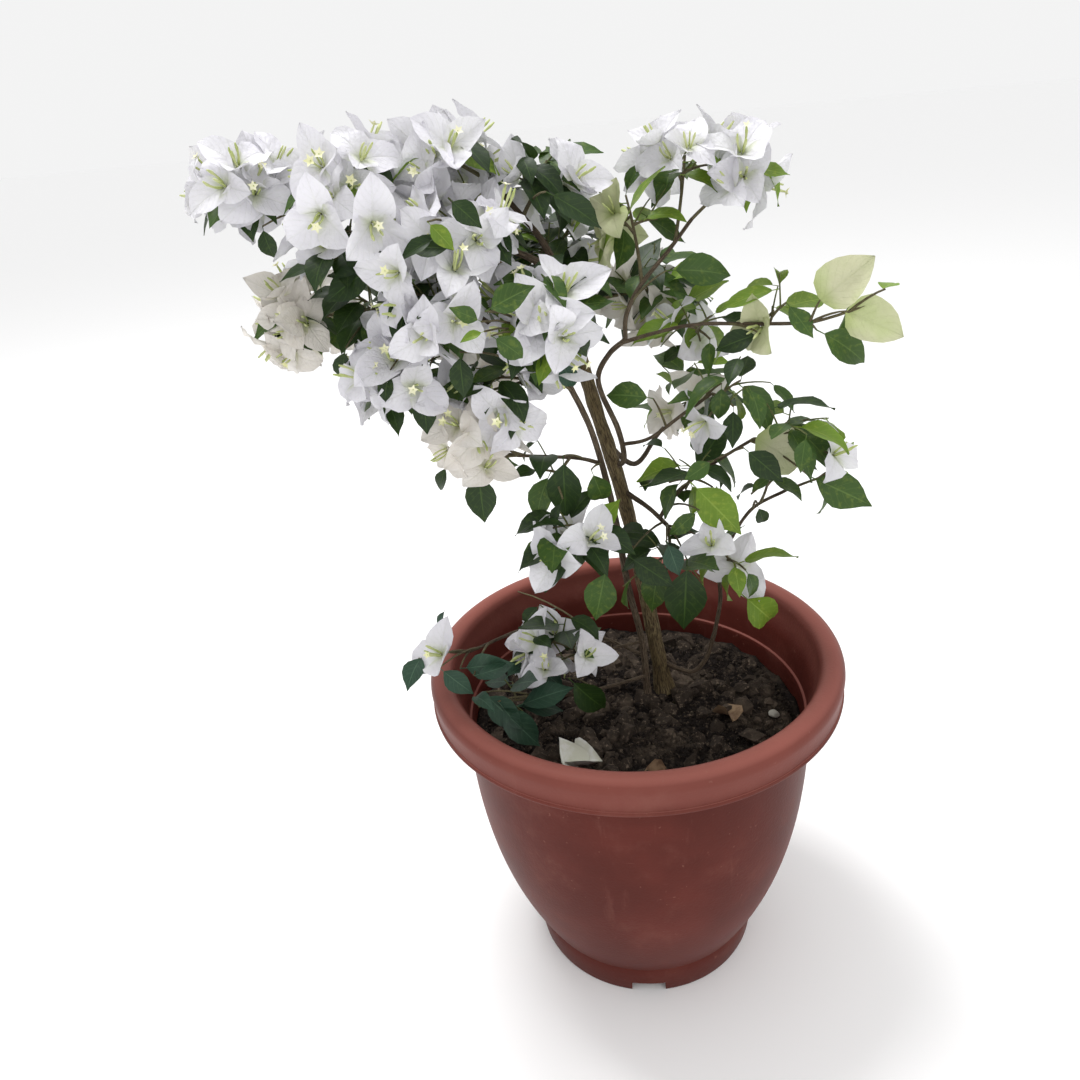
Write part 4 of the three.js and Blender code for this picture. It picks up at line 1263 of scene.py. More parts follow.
STANDOUTS = tuple(Standout(*row) for row in (
    ("right_tip", BRACT_GREEN, "right_bough", 1, (140, -20, 593), (174, -24, 620), 2),
    ("right_tip", BRACT_GREEN, "right_bough", 1, (158, -20, 584), (195, -26, 564), 2),
    ("right_tip", LEAF_MID, "right_bough", 1, (138, -22, 573), (179, -30, 550), 1),
    ("upper_right_inner", LEAF_MID, "upper_right_bough", 0.35, (38, 12, 615), (87, 6, 614), 1),
    ("outer_right", BRACT_GREEN, "outer_right_bough", 1, (97, -30, 499), (136, -36, 476), 0),
    ("outer_right", LEAF_MID, "outer_right_bough", 1, (135, -32, 468), (182, -36, 443), 4),
    ("side_tip", BLOSSOM, "outer_right_bough", 1, (152, -32, 483), (170, -46, 500)),
    ("low_left_blossom", LEAF_DEEP, "low_left_bough", 1, (-106, -45, 494), (-107, -50, 449), 0),
    ("low_left_leaves", LEAF_DEEP, "low_left_bough", 0.3, (-44, -30, 494), (-46, -38, 444), 0),
    ("low_left_leaves", LEAF_MID, "left_stem", 0.6, (-24, -26, 480), (-13, -32, 446), 2),
    ("foot_blossom", LEAF_MID, "left_stem", 0.5, (-16, -62, 416), (-28, -68, 370), 0),
    ("foot_leaves", LEAF_DEEP, "low_right_bough", 1, (45, -42, 408), (41, -50, 346), 0),
    ("foot_leaves", LEAF_DEEP, "low_right_bough", 0.9, (0, -40, 413), (34, -50, 390), 4),
    ("foot_leaves", BLOSSOM, "low_right_bough", 1, (64, -40, 418), (60, -58, 440)),
    ("heart_right", LEAF_BRIGHT, "outer_right_bough", 0.3, (49, -34, 469), (86, -42, 428), 4),
    ("side_foot_leaves", LEAF_BRIGHT, "side_shoot", 0.4, (92, 0, 352), (131, -8, 316), 2),
    ("rim_blossom", BLOSSOM, "rim_shoot", 1, (-150, -66, 346), (-164, -86, 368)),
    ("rim_blossom", LEAF_BLUE, "rim_shoot", 1, (-138, -62, 330), (-96, -70, 338), 4),
    ("pot_leaves", LEAF_BLUE, "pot_shoot", 1, (-108, -78, 308), (-76, -94, 268), 3),
    ("pot_blossom", BARE, "rim_shoot", 0.3, (-104, 74, 322), (-104, 74, 322)),
    ("pot_leaves", LEAF_BLUE, "pot_shoot", 1, (-120, -70, 312), (-90, -92, 290), 0),
    ("pot_leaves", LEAF_DEEP, "pot_shoot", 0.5, (-52, -60, 316), (-20, -68, 280), 1),
    ("pot_blossom", BLOSSOM, "foot_shoot", 0.9, (-72, -45, 314), (-70, -58, 336)),
    ("pot_blossom", BLOSSOM, "foot_shoot", 1, (-38, -40, 322), (-26, -52, 342)),
    ("pot_blossom", BLOSSOM, "foot_shoot", 0.8, (-64, -16, 330), (-66, -26, 355)),
    ("front_left_blossom", LEAF_MID, "left_stem", 0.95, (-78, -114, 621), (-49, -122, 636), 0),
    ("front_left_blossom", LEAF_MID, "left_stem", 0.95, (-81, -114, 615), (-98, -120, 626), 4),
    ("front_left_blossom", LEAF_MID, "left_stem", 0.95, (-76, -114, 606), (-54, -120, 592), 2),
    ("front_left_blossom", LEAF_BRIGHT, "left_stem", 0.95, (-80, -114, 609), (-95, -122, 607), 5),
    ("lower_left_front", LEAF_DEEP, "lower_left_bough", 0.6, (-134, -62, 562), (-136, -70, 530), 0),
    ("lower_left_front", LEAF_DEEP, "lower_left_bough", 0.6, (-152, -74, 579), (-160, -84, 559), 1),
    ("lower_left_tip", LEAF_DEEP, "lower_left_bough", 0.9, (-190, -40, 588), (-199, -48, 562), 2),
    ("lower_left_leaves", LEAF_DEEP, "lower_left_bough", 0.8, (-154, -56, 645), (-192, -66, 627), 0),
    ("lower_left_leaves", LEAF_DEEP, "lower_left_bough", 0.8, (-149, -60, 645), (-144, -70, 621), 4),
    ("middle_blossom", LEAF_DEEP, "left_bough", 0.45, (-97, -92, 655), (-124, -100, 663), 1),
    ("left_underside", LEAF_DEEP, "left_bough", 0.85, (-239, -20, 671), (-236, -28, 648), 2),
    ("low_left_blossom", LEAF_DEEP, "low_left_bough", 0.9, (-128, -50, 500), (-140, -54, 476), 5),
    ("right_leaves", LEAF_DEEP, "right_bough", 0.62, (101, -14, 571), (68, -20, 565), 1),
    ("middle_right", LEAF_MID, "middle_right_bough", 0.5, (24, -22, 531), (-11, -30, 542), 2),
    ("middle_right", LEAF_MID, "middle_right_bough", 0.9, (72, -32, 542), (70, -38, 514), 1),
    ("heart_right", LEAF_MID, "outer_right_bough", 0.5, (64, -52, 492), (43, -58, 481), 0),
    ("heart_right", LEAF_DEEP, "outer_right_bough", 0.5, (86, -46, 498), (114, -50, 472), 4),
    ("heart_right", LEAF_MID, "outer_right_bough", 0.2, (54, -48, 452), (30, -56, 435), 3),
    ("foot_leaves", LEAF_BLUE, "low_right_bough", 1, (29, -60, 434), (38, -66, 406), 0),
    ("side_leaves", LEAF_DEEP, "side_shoot", 0.8, (99, -30, 445), (107, -34, 426), 2),
    ("middle_blossom", LEAF_BRIGHT, "left_bough", 0.4, (-109, -98, 673), (-94, -106, 658), 1),
    ("middle_blossom", LEAF_DEEP, "left_bough", 0.4, (-97, -84, 684), (-78, -94, 668), 0),
    ("middle_blossom", LEAF_DEEP, "left_bough", 0.5, (-105, -96, 663), (-132, -104, 656), 5),
    ("crown_blossom", LEAF_DEEP, "top_bough", 0.6, (-40, -50, 680), (-4, -58, 659), 3),
    ("front_lower_blossom", LEAF_DEEP, "left_stem", 0.8, (-100, -96, 593), (-101, -100, 563), 0),
    ("front_lower_blossom", LEAF_BLUE, "left_stem", 0.9, (-38, -74, 578), (-28, -80, 556), 2),
    ("low_left_blossom", BLOSSOM, "low_left_bough", 1, (-101, -56, 522), (-93, -86, 517)),
    ("low_left_blossom", BLOSSOM, "low_left_bough", 1, (-115, -54, 530), (-123, -78, 548)),
    ("low_left_blossom", BLOSSOM, "low_left_bough", 0.9, (-124, -54, 513), (-142, -74, 508)),
    ("left_blossom", BLOSSOM, "left_bough", 0.8, (-181, -70, 680), (-182, -101, 673)),
    ("left_blossom", BLOSSOM, "left_bough", 0.7, (-148, -76, 673), (-135, -104, 664)),
    ("rim_blossom", LEAF_BLUE, "rim_shoot", 0.95, (-152, -72, 338), (-127, -80, 316), 0),
    ("pot_leaves", LEAF_BLUE, "rim_shoot", 0.9, (-126, -70, 328), (-94, -76, 340), 5),
))


@dataclass
class Sprays:
    """Where each small piece goes: its place, turn, size, template and mass."""

    places: dict[Kind, list[tuple[np.ndarray, Point, float, int]]] = field(
        default_factory=lambda: {kind: [] for kind in Kind}
    )
    masses: dict[Kind, set[str]] = field(default_factory=lambda: {kind: set() for kind in Kind})

    def add(
        self, kind: Kind, mass: str, root: np.ndarray, along: np.ndarray, face: np.ndarray,
        size: float, template: int,
    ) -> None:
        """Place one piece.

        Args:
            kind: What it is.
            mass: The mass it belongs to.
            root: Where it starts, in millimetres.
            along: The way it points.
            face: The way its upper side looks.
            size: Its size beside its template.
            template: Which template it is.
        """
        across = unit(np.cross(along, face))
        axes = np.column_stack((across, along, np.cross(across, along)))
        turn = Matrix(axes.tolist()).to_euler("XYZ")
        self.places[kind].append((root, tuple(turn), size, template))
        self.masses[kind].add(mass)

    def host(self, kind: Kind) -> bpy.types.Mesh:
        """Hold the places of one kind in a mesh.

        Args:
            kind: The kind.

        Returns:
            The points, with their turns, sizes and templates.
        """
        rows = self.places[kind]
        mesh = bpy.data.meshes.new(kind.value + "_points")
        mesh.from_pydata([tuple(row[0] * MM) for row in rows], [], [])
        columns = (
            ("turn", "FLOAT_VECTOR", "vector", [value for row in rows for value in row[1]]),
            ("size", "FLOAT", "value", [row[2] for row in rows]),
            ("kind", "INT", "value", [row[3] for row in rows]),
        )
        for name, data_type, held, values in columns:
            mesh.attributes.new(name, data_type, "POINT").data.foreach_set(held, values)
        return mesh


@dataclass
class Branchlet:
    """A stem or twig of the crown: its path and its radius at both ends."""

    path: Curve
    radii: tuple[float, float]
    mass: str


@dataclass
class Crown:
    """What has grown so far, and the tests that a twig, leaf or blossom passes."""

    limbs: dict[str, tuple[Limb, Curve]]
    sprays: Sprays = field(default_factory=Sprays)
    branchlets: list[Branchlet] = field(default_factory=list)
    blossoms: list[np.ndarray] = field(default_factory=list)
    leaves: list[np.ndarray] = field(default_factory=list)
    overrun: float = 1.35
    box_margin: float = 10.0
    rim_radius: float = 164.7
    rim_height: float = 294.7
    rim_roll: float = 10.3
    wall_inside: float = 139.0
    soil_gap: float = 3.0
    rim_gap: float = 1.0
    limb_gap: float = 1.5

    def __post_init__(self) -> None:
        """Measure the room that the limbs take."""
        points, radii = [], []
        for limb, path in self.limbs.values():
            count = max(6, round(path.length() / 4))
            points.extend(path.samples(count))
            radii.extend(limb.radius(i / count) for i in range(count + 1))
        self.limb_points, self.limb_radii = np.array(points), np.array(radii)

    def in_reach(self, points: np.ndarray, mass: Mass, factor: float = 1.0) -> bool:
        """Say whether all points are in the space that the mass may fill."""
        offset = (points - np.array(mass.centre)) / np.array(mass.reach)
        return bool((np.linalg.norm(offset, axis=1) <= self.overrun * factor).all())

    def in_box(self, points: np.ndarray) -> bool:
        """Say whether all points stay in the frame's box, apart from a margin."""
        low, high = (np.array(corner) / MM for corner in CAD_BOX)
        return bool((points >= low - self.box_margin).all() and (points <= high + self.box_margin).all())

    def clear_of_pot(self, points: np.ndarray) -> bool:
        """Test against the pot and the soil.

        Args:
            points: The points.

        Returns:
            Whether all points are clear of them.
        """
        radius, height = np.hypot(points[:, 0], points[:, 1]), points[:, 2]
        roll = np.hypot(radius - self.rim_radius, height - self.rim_height)
        free = (height > self.rim_height + self.rim_roll) | (radius < self.wall_inside)
        over_soil = height > STEM_FOOT + self.soil_gap
        return bool((over_soil & (roll > self.rim_roll + self.rim_gap) & free).all())

    def clear_of_limbs(self, points: np.ndarray, margin: float = 1.0) -> bool:
        """Say whether all points keep a margin to the trunk, stems and boughs."""
        gaps = np.linalg.norm(points[:, None, :] - self.limb_points[None], axis=2)
        return bool((gaps > self.limb_radii[None] + margin).all())

    def has_room(self, points: np.ndarray, mass: Mass, factor: float) -> bool:
        """Say whether the points of a leaf or blossom may stand in a mass."""
        inside = self.in_reach(points, mass, factor) and self.in_box(points)
        return inside and self.clear_of_pot(points) and self.clear_of_limbs(points, self.limb_gap)

    def clear_of(self, others: list[np.ndarray], point: np.ndarray, gap: float) -> bool:
        """Say whether a point keeps a gap to all others of a list."""
        return not others or bool((np.linalg.norm(np.array(others) - point, axis=1) > gap).all())


@dataclass
class Grower:
    """Grows one mass: the source's stem and twigs, then finer twigs, blossoms and leaves."""

    crown: Crown
    mass: Mass
    fine: Seeded
    bloom_reach: float = 0.46
    shoot_reach: float = 0.45
    stem_radius: float = 1.7
    stem_tip: float = 0.95
    twig_radii: tuple[float, float] = (1.15, 0.75)
    twiglet_radii: tuple[float, float] = (0.75, 0.5)
    shown_radii: tuple[float, float] = (1.1, 0.6)
    shown_opening: float = 0.95
    leaf_length: float = 45.0
    bract_length: float = 34.0
    blossom_sizes: tuple[float, float] = (0.78, 1.0)
    openings: tuple[float, float] = (0.66, 1.1)
    droops: tuple[float, float] = (0.1, 0.75)
    opened: float = 0.18
    blossom_factor: float = 1.05
    leaf_factor: float = 0.94
    leaf_to_blossom: tuple[float, float] = (15.0, 13.0)
    tries: int = 14

    def branch(self, path: Curve, radii: tuple[float, float]) -> None:
        """Keep a stem or twig of the mass."""
        self.crown.branchlets.append(Branchlet(path, radii, self.mass.name))

    def stem(self) -> Curve:
        """Return the path from the limb to just past the middle of the mass."""
        mass, limb_curve = self.mass, self.crown.limbs[self.mass.limb][1]
        start, heading = limb_curve.at(mass.at), limb_curve.tangent(mass.at)
        way = np.array(mass.centre) - start
        lean = 0.18 if mass.at == 1 else 0.06
        middle = start + way * 0.45 + heading * (float(np.linalg.norm(way)) * lean)
        return BendCurve(start, middle, np.array(mass.centre) + way * 0.12)

    def grow(self, draw: Seeded) -> None:
        """Grow the mass, with the source's numbers drawn in the source's order.

        Args:
            draw: The source's numbers.
        """
        mass, stem = self.mass, self.stem()
        foot = min(self.crown.limbs[mass.limb][0].radius(mass.at), self.stem_radius) * 0.95
        self.branch(stem, (foot, self.stem_tip))
        count = mass.blooms + mass.shoots
        turn_of_all = draw() * FULL_TURN
        for i in range(count):
            height = 1 - 2 * (i + 0.5) / count
            girth = math.sqrt(1 - height * height)
            angle = turn_of_all + i * GOLDEN_ANGLE
            out = np.array([girth * math.cos(angle), girth * math.sin(angle), height])
            blossoms = ((i + 1) * mass.blooms) // count > (i * mass.blooms) // count
            share = (self.bloom_reach if blossoms else self.shoot_reach) * (0.85 + 0.3 * draw())
            start = stem.at(0.5 + 0.46 * (i + 0.5) / count)
            end = np.array(mass.centre) + out * np.array(mass.reach) * share
            turn = draw() * FULL_TURN
            for _ in range(1 if blossoms else 2):
                draw()
            middle = (start + end) / 2 + UP * (0.12 * float(np.linalg.norm(end - start)))
            self.twig(BendCurve(start, middle, end), out, turn, blossoms)

    def twig(self, path: Curve, out: np.ndarray, turn: float, blossoms: bool) -> None:
        """Grow a twig of the source's rule and the finer twigs on it.

        Args:
            path: Its middle line.
            out: The way out of the mass at its end.
            turn: The turn that its side pieces start from.
            blossoms: Whether it ends in a blossom.
        """
        if not self.crown.clear_of_limbs(path.samples(6)[2:]):
            return
        growth = self.mass.habit.value
        tips = [(path, out, blossoms and growth.blooming > 0)]
        for k in range(growth.side_twigs):
            share = 0.3 + 0.6 * k / growth.side_twigs
            start, tangent = path.at(share), path.tangent(share)
            side = turned(tangent, turn + k * GOLDEN_ANGLE + 0.6)
            way = unit(tangent * 0.5 + side * 0.85 + UP * 0.15 + out * 0.35)
            reach = self.fine.between(*growth.twig_reach)
            end = start + way * reach
            bend = BendCurve(start, (start + end) / 2 + UP * reach * 0.1, end)
            points = bend.samples(5)[1:]
            fits = self.crown.in_reach(points, self.mass) and self.crown.clear_of_pot(points)
            blooming = blossoms and self.fine() < growth.blooming
            if fits and self.crown.clear_of_limbs(points[1:]):
                tips.append((bend, unit(way + out * 0.5), blooming))
        bloomed = [blooming and self.blossom(tip, way, turn) for tip, way, blooming in tips]
        carried = False
        for (tip, _, _), done in zip(tips, bloomed):
            shares = growth.bloom_leaves if done else growth.shoot_leaves
            leaves = [self.leaf(tip, share, turn + 1 + k * 2.2) for k, share in enumerate(shares)]
            bears = done or any(leaves)
            carried = carried or bears
            if bears and tip is not path:
                self.branch(tip, self.twiglet_radii)
        if carried:
            self.branch(path, self.twig_radii)

    def blossom(self, path: Curve, out: np.ndarray, turn: float) -> bool:
        """Set a blossom on a twig's end, turned to the first side where it has room.

        Args:
            path: The twig.
            out: The way out of the mass.
            turn: The turn of its first bract.

        Returns:
            Whether there was room.
        """
        root, crown, growth = path.at(1), self.crown, self.mass.habit.value
        floor = self.mass.centre[2] + growth.bloom_floor * self.mass.reach[2]
        size = self.fine.between(*self.blossom_sizes)
        opening = self.fine.between(*self.openings)
        toward_light = UP * 0.55 + np.array([0.0, -0.2, 0.0])
        for i in range(self.tries):
            tilt = turned(out, turn + i * GOLDEN_ANGLE)
            axis = unit(out + tilt * (0.13 * i) + toward_light)
            middle = root + axis * (0.45 * self.bract_length)
            bracts = fan(axis, turn + i, opening)
            tips = np.array([root + way * (self.bract_length * size) for way, _ in bracts])
            points = np.vstack((tips, (tips + root) / 2))
            free = crown.clear_of(crown.blossoms, middle, growth.blossom_gap * size)
            if free and middle[2] >= floor and crown.has_room(points, self.mass, self.blossom_factor):
                crown.blossoms.append(middle)
                self.dress_blossom(root, axis, bracts, size)
                return True
        return False

    def dress_blossom(
        self, root: np.ndarray, axis: np.ndarray, bracts: list[tuple[np.ndarray, np.ndarray]], size: float,
    ) -> None:
        """Place a blossom's bracts, tubes and opened mouths.

        Args:
            root: Where it sits on the twig.
            axis: The way it looks.
            bracts: The way and the side of each bract.
            size: Its size.
        """
        name, fine, add = self.mass.name, self.fine, self.crown.sprays.add
        for way, side in bracts:
            bract_size = size * fine.between(0.92, 1.08)
            add(BRACT_KINDS[self.mass.bloom], name, root + side * 0.7, way, axis, bract_size, fine.pick(5))
            lean = unit(axis + side * fine.between(0.05, 0.26))
            start = root + side * 1.1 + axis * 1.2
            length = size * fine.between(0.85, 1.2)
            add(Kind.FLORET, name, start, lean, side, length, fine.pick(3))
            if fine() < self.opened:
                mouth = start + lean * (FLOWER.length * length)
                mouth_size = fine.between(0.8, 1.1)
                add(Kind.STAR, name, mouth, lean, side, mouth_size, fine.pick(2))

    def leaf(self, path: Curve, share: float, turn: float) -> bool:
        """Set a leaf on a twig, turned to the first side where it has room.

        Args:
            path: The twig.
            share: How far along the twig it sits.
            turn: The turn that its tries start from.

        Returns:
            Whether there was room.
        """
        root, along, crown = path.at(share), path.tangent(share), self.crown
        growth = self.mass.habit.value
        top = self.mass.centre[2] + growth.leaf_top * self.mass.reach[2]
        size = self.fine.between(*growth.leaf_size) * (0.7 if share == 1.0 else 1.0)
        length = self.leaf_length * size
        droop = self.fine.between(*self.droops)
        deal = self.fine()
        template = self.fine.pick(6)
        middle_gap, tip_gap = self.leaf_to_blossom
        for i in range(self.tries):
            side = turned(along, turn + i * GOLDEN_ANGLE)
            way = unit(along * 0.55 + side * 0.85 - UP * droop)
            middle = root + way * (length * 0.55)
            tip = root + way * length - UP * (length * 0.12)
            across = unit(np.cross(way, UP)) * (length * 0.26)
            points = np.array([tip, middle, middle + across, middle - across])
            free = (
                middle[2] <= top
                and crown.clear_of(crown.leaves, middle, growth.leaf_gap)
                and crown.clear_of(crown.blossoms, middle, middle_gap)
                and crown.clear_of(crown.blossoms, tip, tip_gap)
            )
            if free and crown.has_room(points, self.mass, self.leaf_factor):
                face = unit(UP + np.array([0.0, -0.35, 0.0]) + side * 0.2)
                crown.leaves.append(middle)
                crown.sprays.add(self.leaf_kind(deal), self.mass.name, root, way, face, size, template)
                return True
        return False

    def leaf_kind(self, deal: float) -> Kind:
        """Deal out a kind of leaf.

        Args:
            deal: A number from 0 to 1.

        Returns:
            The kind that it gives in this mass.
        """
        for kind, share in zip(LEAF_KINDS, self.mass.leafage.value):
            if deal < share:
                return kind
            deal -= share
        return LEAF_MID

    def show(self, piece: Standout) -> None:
        """Set a leaf, bract or blossom that stands out, on a twig of its own.

        Args:
            piece: What it is and where it goes.
        """
        crown, root, tip = self.crown, np.array(piece.root), np.array(piece.tip)
        start = crown.limbs[piece.limb][1].at(piece.share)
        rise = 0.14 * float(np.linalg.norm(root - start))
        self.branch(BendCurve(start, (start + root) / 2 + UP * rise, root), self.shown_radii)
        length = float(np.linalg.norm(tip - root))
        if piece.kind is BLOSSOM:
            axis = unit(tip - root)
            crown.blossoms.append(root + axis * (0.45 * self.bract_length))
            bracts = fan(axis, 0.5, self.shown_opening)
            self.dress_blossom(root, axis, bracts, length / self.bract_length)
        elif piece.kind is not BARE:
            size = length / (self.leaf_length if piece.kind in LEAF_KINDS else self.bract_length)
            face = np.array([0.0, -0.9, 0.45])
            crown.leaves.append((root + tip) / 2)
            crown.sprays.add(piece.kind, piece.mass, root, unit(tip - root), face, size, piece.template)


# ---- Sub-assemblies ----------------------------------------------------------------------


def settle(piece: bpy.types.Object, slot: str, *nodes: str, finish: Optional[Finish] = None) -> None:
    """Attach a finished piece to the body, give it its finish where one is given, and hide the frame's
    nodes that it stands for.

    Args:
        piece: The piece.
        slot: Not used.
        *nodes: The frame's nodes that it stands for.
        finish: Its finish, where its tree hasn't set one.
    """
    if finish:
        piece.data.materials.append(finish.material())
    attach(piece, BODY)
    if nodes:
        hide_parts(*nodes)
    LOG.info("%s: %d faces", piece.name, len(piece.data.polygons))


def between(start: float, end: float, count: int) -> list[float]:
    """Return count + 1 numbers spread from start to end."""
    return [start + (end - start) * i / count for i in range(count + 1)]


def half_round(
    centre: tuple[float, float], radii: tuple[float, float], start: float, count: int,
) -> list[tuple[float, float]]:
    """Return points of an outline round half an ellipse, from an angle on."""
    turns = between(start, start + math.pi, count)
    return [(centre[0] + radii[0] * math.cos(t), centre[1] + radii[1] * math.sin(t)) for t in turns]


@dataclass
class Pot:
    """The round plastic pot: a turned body with a rolled rim, a bead and a notched foot."""

    height: float = 305.0
    rim_radius: float = 175.0
    roll_width: float = 20.6
    lip_height: float = 30.0
    lip_set_back: float = 1.2
    bead_height: float = 4.5
    neck_radius: float = 150.0
    waist_radius: float = 104.6
    belly_power: float = 2.84
    foot_height: float = 31.0
    foot_round: float = 8.0
    foot_shoulder: float = 4.0
    foot_radius: float = 105.0
    foot_base_radius: float = 102.0
    foot_edge: float = 3.0
    wall: float = 5.5
    neck_wall: float = 2.8
    ledge_height: float = 250.0
    ledge_depth: float = 2.7
    floor: float = 3.0
    foot_solid: float = 16.0
    foot_solid_width: float = 24.0
    floor_rise: float = 14.0
    notches: int = 4
    notch_size: Point = (30.0, 32.0, 24.0)
    sides: int = 160
    soft_angle: float = 0.6

    @property
    def under(self) -> float:
        """Return the height of the lip's underside."""
        return self.height - self.lip_height

    def wall_radius(self, height: float) -> float:
        """Return the outside radius of the body at a height."""
        drop = min(1.0, max(0.0, (self.under - height) / (self.under - self.foot_height)))
        return self.neck_radius - (self.neck_radius - self.waist_radius) * drop**self.belly_power

    def outside(self) -> list[tuple[float, float]]:
        """Return the outline from the middle of the underside up to the neck."""
        base, foot = self.foot_base_radius, self.foot_height
        line = [(0.0, 0.0), (base - self.foot_edge, 0.0), (base - 0.9, 0.8), (base, self.foot_edge)]
        line += [(self.foot_radius, foot - drop) for drop in (self.foot_round, self.foot_shoulder)]
        line.append(((self.foot_radius + self.waist_radius) / 2, foot - 1.5))
        return line + [(self.wall_radius(height), height) for height in between(foot, self.under, 24)]

    def rim(self) -> list[tuple[float, float]]:
        """Return the outline of the lip's underside, the bead, the rolled rim and its inner edge."""
        under, side, roll = self.under, self.rim_radius - self.lip_set_back, self.roll_width / 2
        bead, middle = self.bead_height, self.height - roll
        line = [(self.neck_radius + 1.2, under - 0.2), (side - 1.5, under), (side - 0.3, under + 0.4)]
        radii = (self.lip_set_back, 0.45 * bead)
        line += half_round((side, under + 0.5 * bead), radii, -math.pi / 2, 6)
        line += [(side, under + bead + 0.6), (side, middle - 5)]
        line += half_round((self.rim_radius - roll, middle), (roll, roll), 0.0, 16)
        return line + [(self.rim_radius - self.roll_width - 0.8, middle - 6)]

    def inside(self) -> list[tuple[float, float]]:
        """Return the outline from the neck's inside over the ledge down to the floor's middle."""
        wall, ledge, top = self.neck_radius - self.neck_wall, self.ledge_height, self.foot_solid
        shelf, hollow = wall - self.ledge_depth, self.foot_radius - self.foot_solid_width
        line = [(wall + 3, self.under + 2), (wall, self.under - 4), (wall, ledge + 2.4)]
        line += [(wall - 0.5, ledge + 0.8), (shelf + 0.4, ledge), (shelf, ledge - 0.8)]
        heights = between(ledge - 4, top + self.floor_rise, 11)
        line += [(self.wall_radius(height) - self.wall, height) for height in heights]
        return line + [(hollow + 8, top), (hollow, top), (hollow - 2, self.floor), (0.0, self.floor)]

    def build(self, finish: PlasticFinish) -> None:
        """Make the pot and set it in the frame's place.

        Args:
            finish: The plastic.
        """
        (_, start), *line, (_, end) = self.outside() + self.rim() + self.inside()
        rings = [ring(radius, height, self.sides) for radius, height in line]
        piece = link("pot_shell", stacked_mesh("pot_shell", (0.0, 0.0, start), rings, (0.0, 0.0, end)))
        size = Matrix.Diagonal((*(s * MM for s in self.notch_size), 1.0))
        out = Matrix.Translation((0, -self.foot_base_radius * MM, 0))
        cutters = []
        for i in range(self.notches):
            bpy.ops.mesh.primitive_cube_add(size=1)
            cutters.append(bpy.context.object)
            cutters[-1].data.transform(Matrix.Rotation(FULL_TURN * i / self.notches, 4, "Z") @ out @ size)
            cut = piece.modifiers.new("notch", "BOOLEAN")
            cut.operation, cut.solver, cut.object = "DIFFERENCE", "EXACT", cutters[-1]
        piece.data = plain_mesh(piece)
        for box in cutters:
            bpy.data.objects.remove(box)
        smooth_mesh(piece.data)
        piece.data.set_sharp_from_angle(angle=self.soft_angle)
        settle(piece, "pot", "pot", finish=finish)


def smooth_mesh(mesh: bpy.types.Mesh) -> None:
    """Shade all faces of a mesh smooth."""
    mesh.polygons.foreach_set("use_smooth", [True] * len(mesh.polygons))


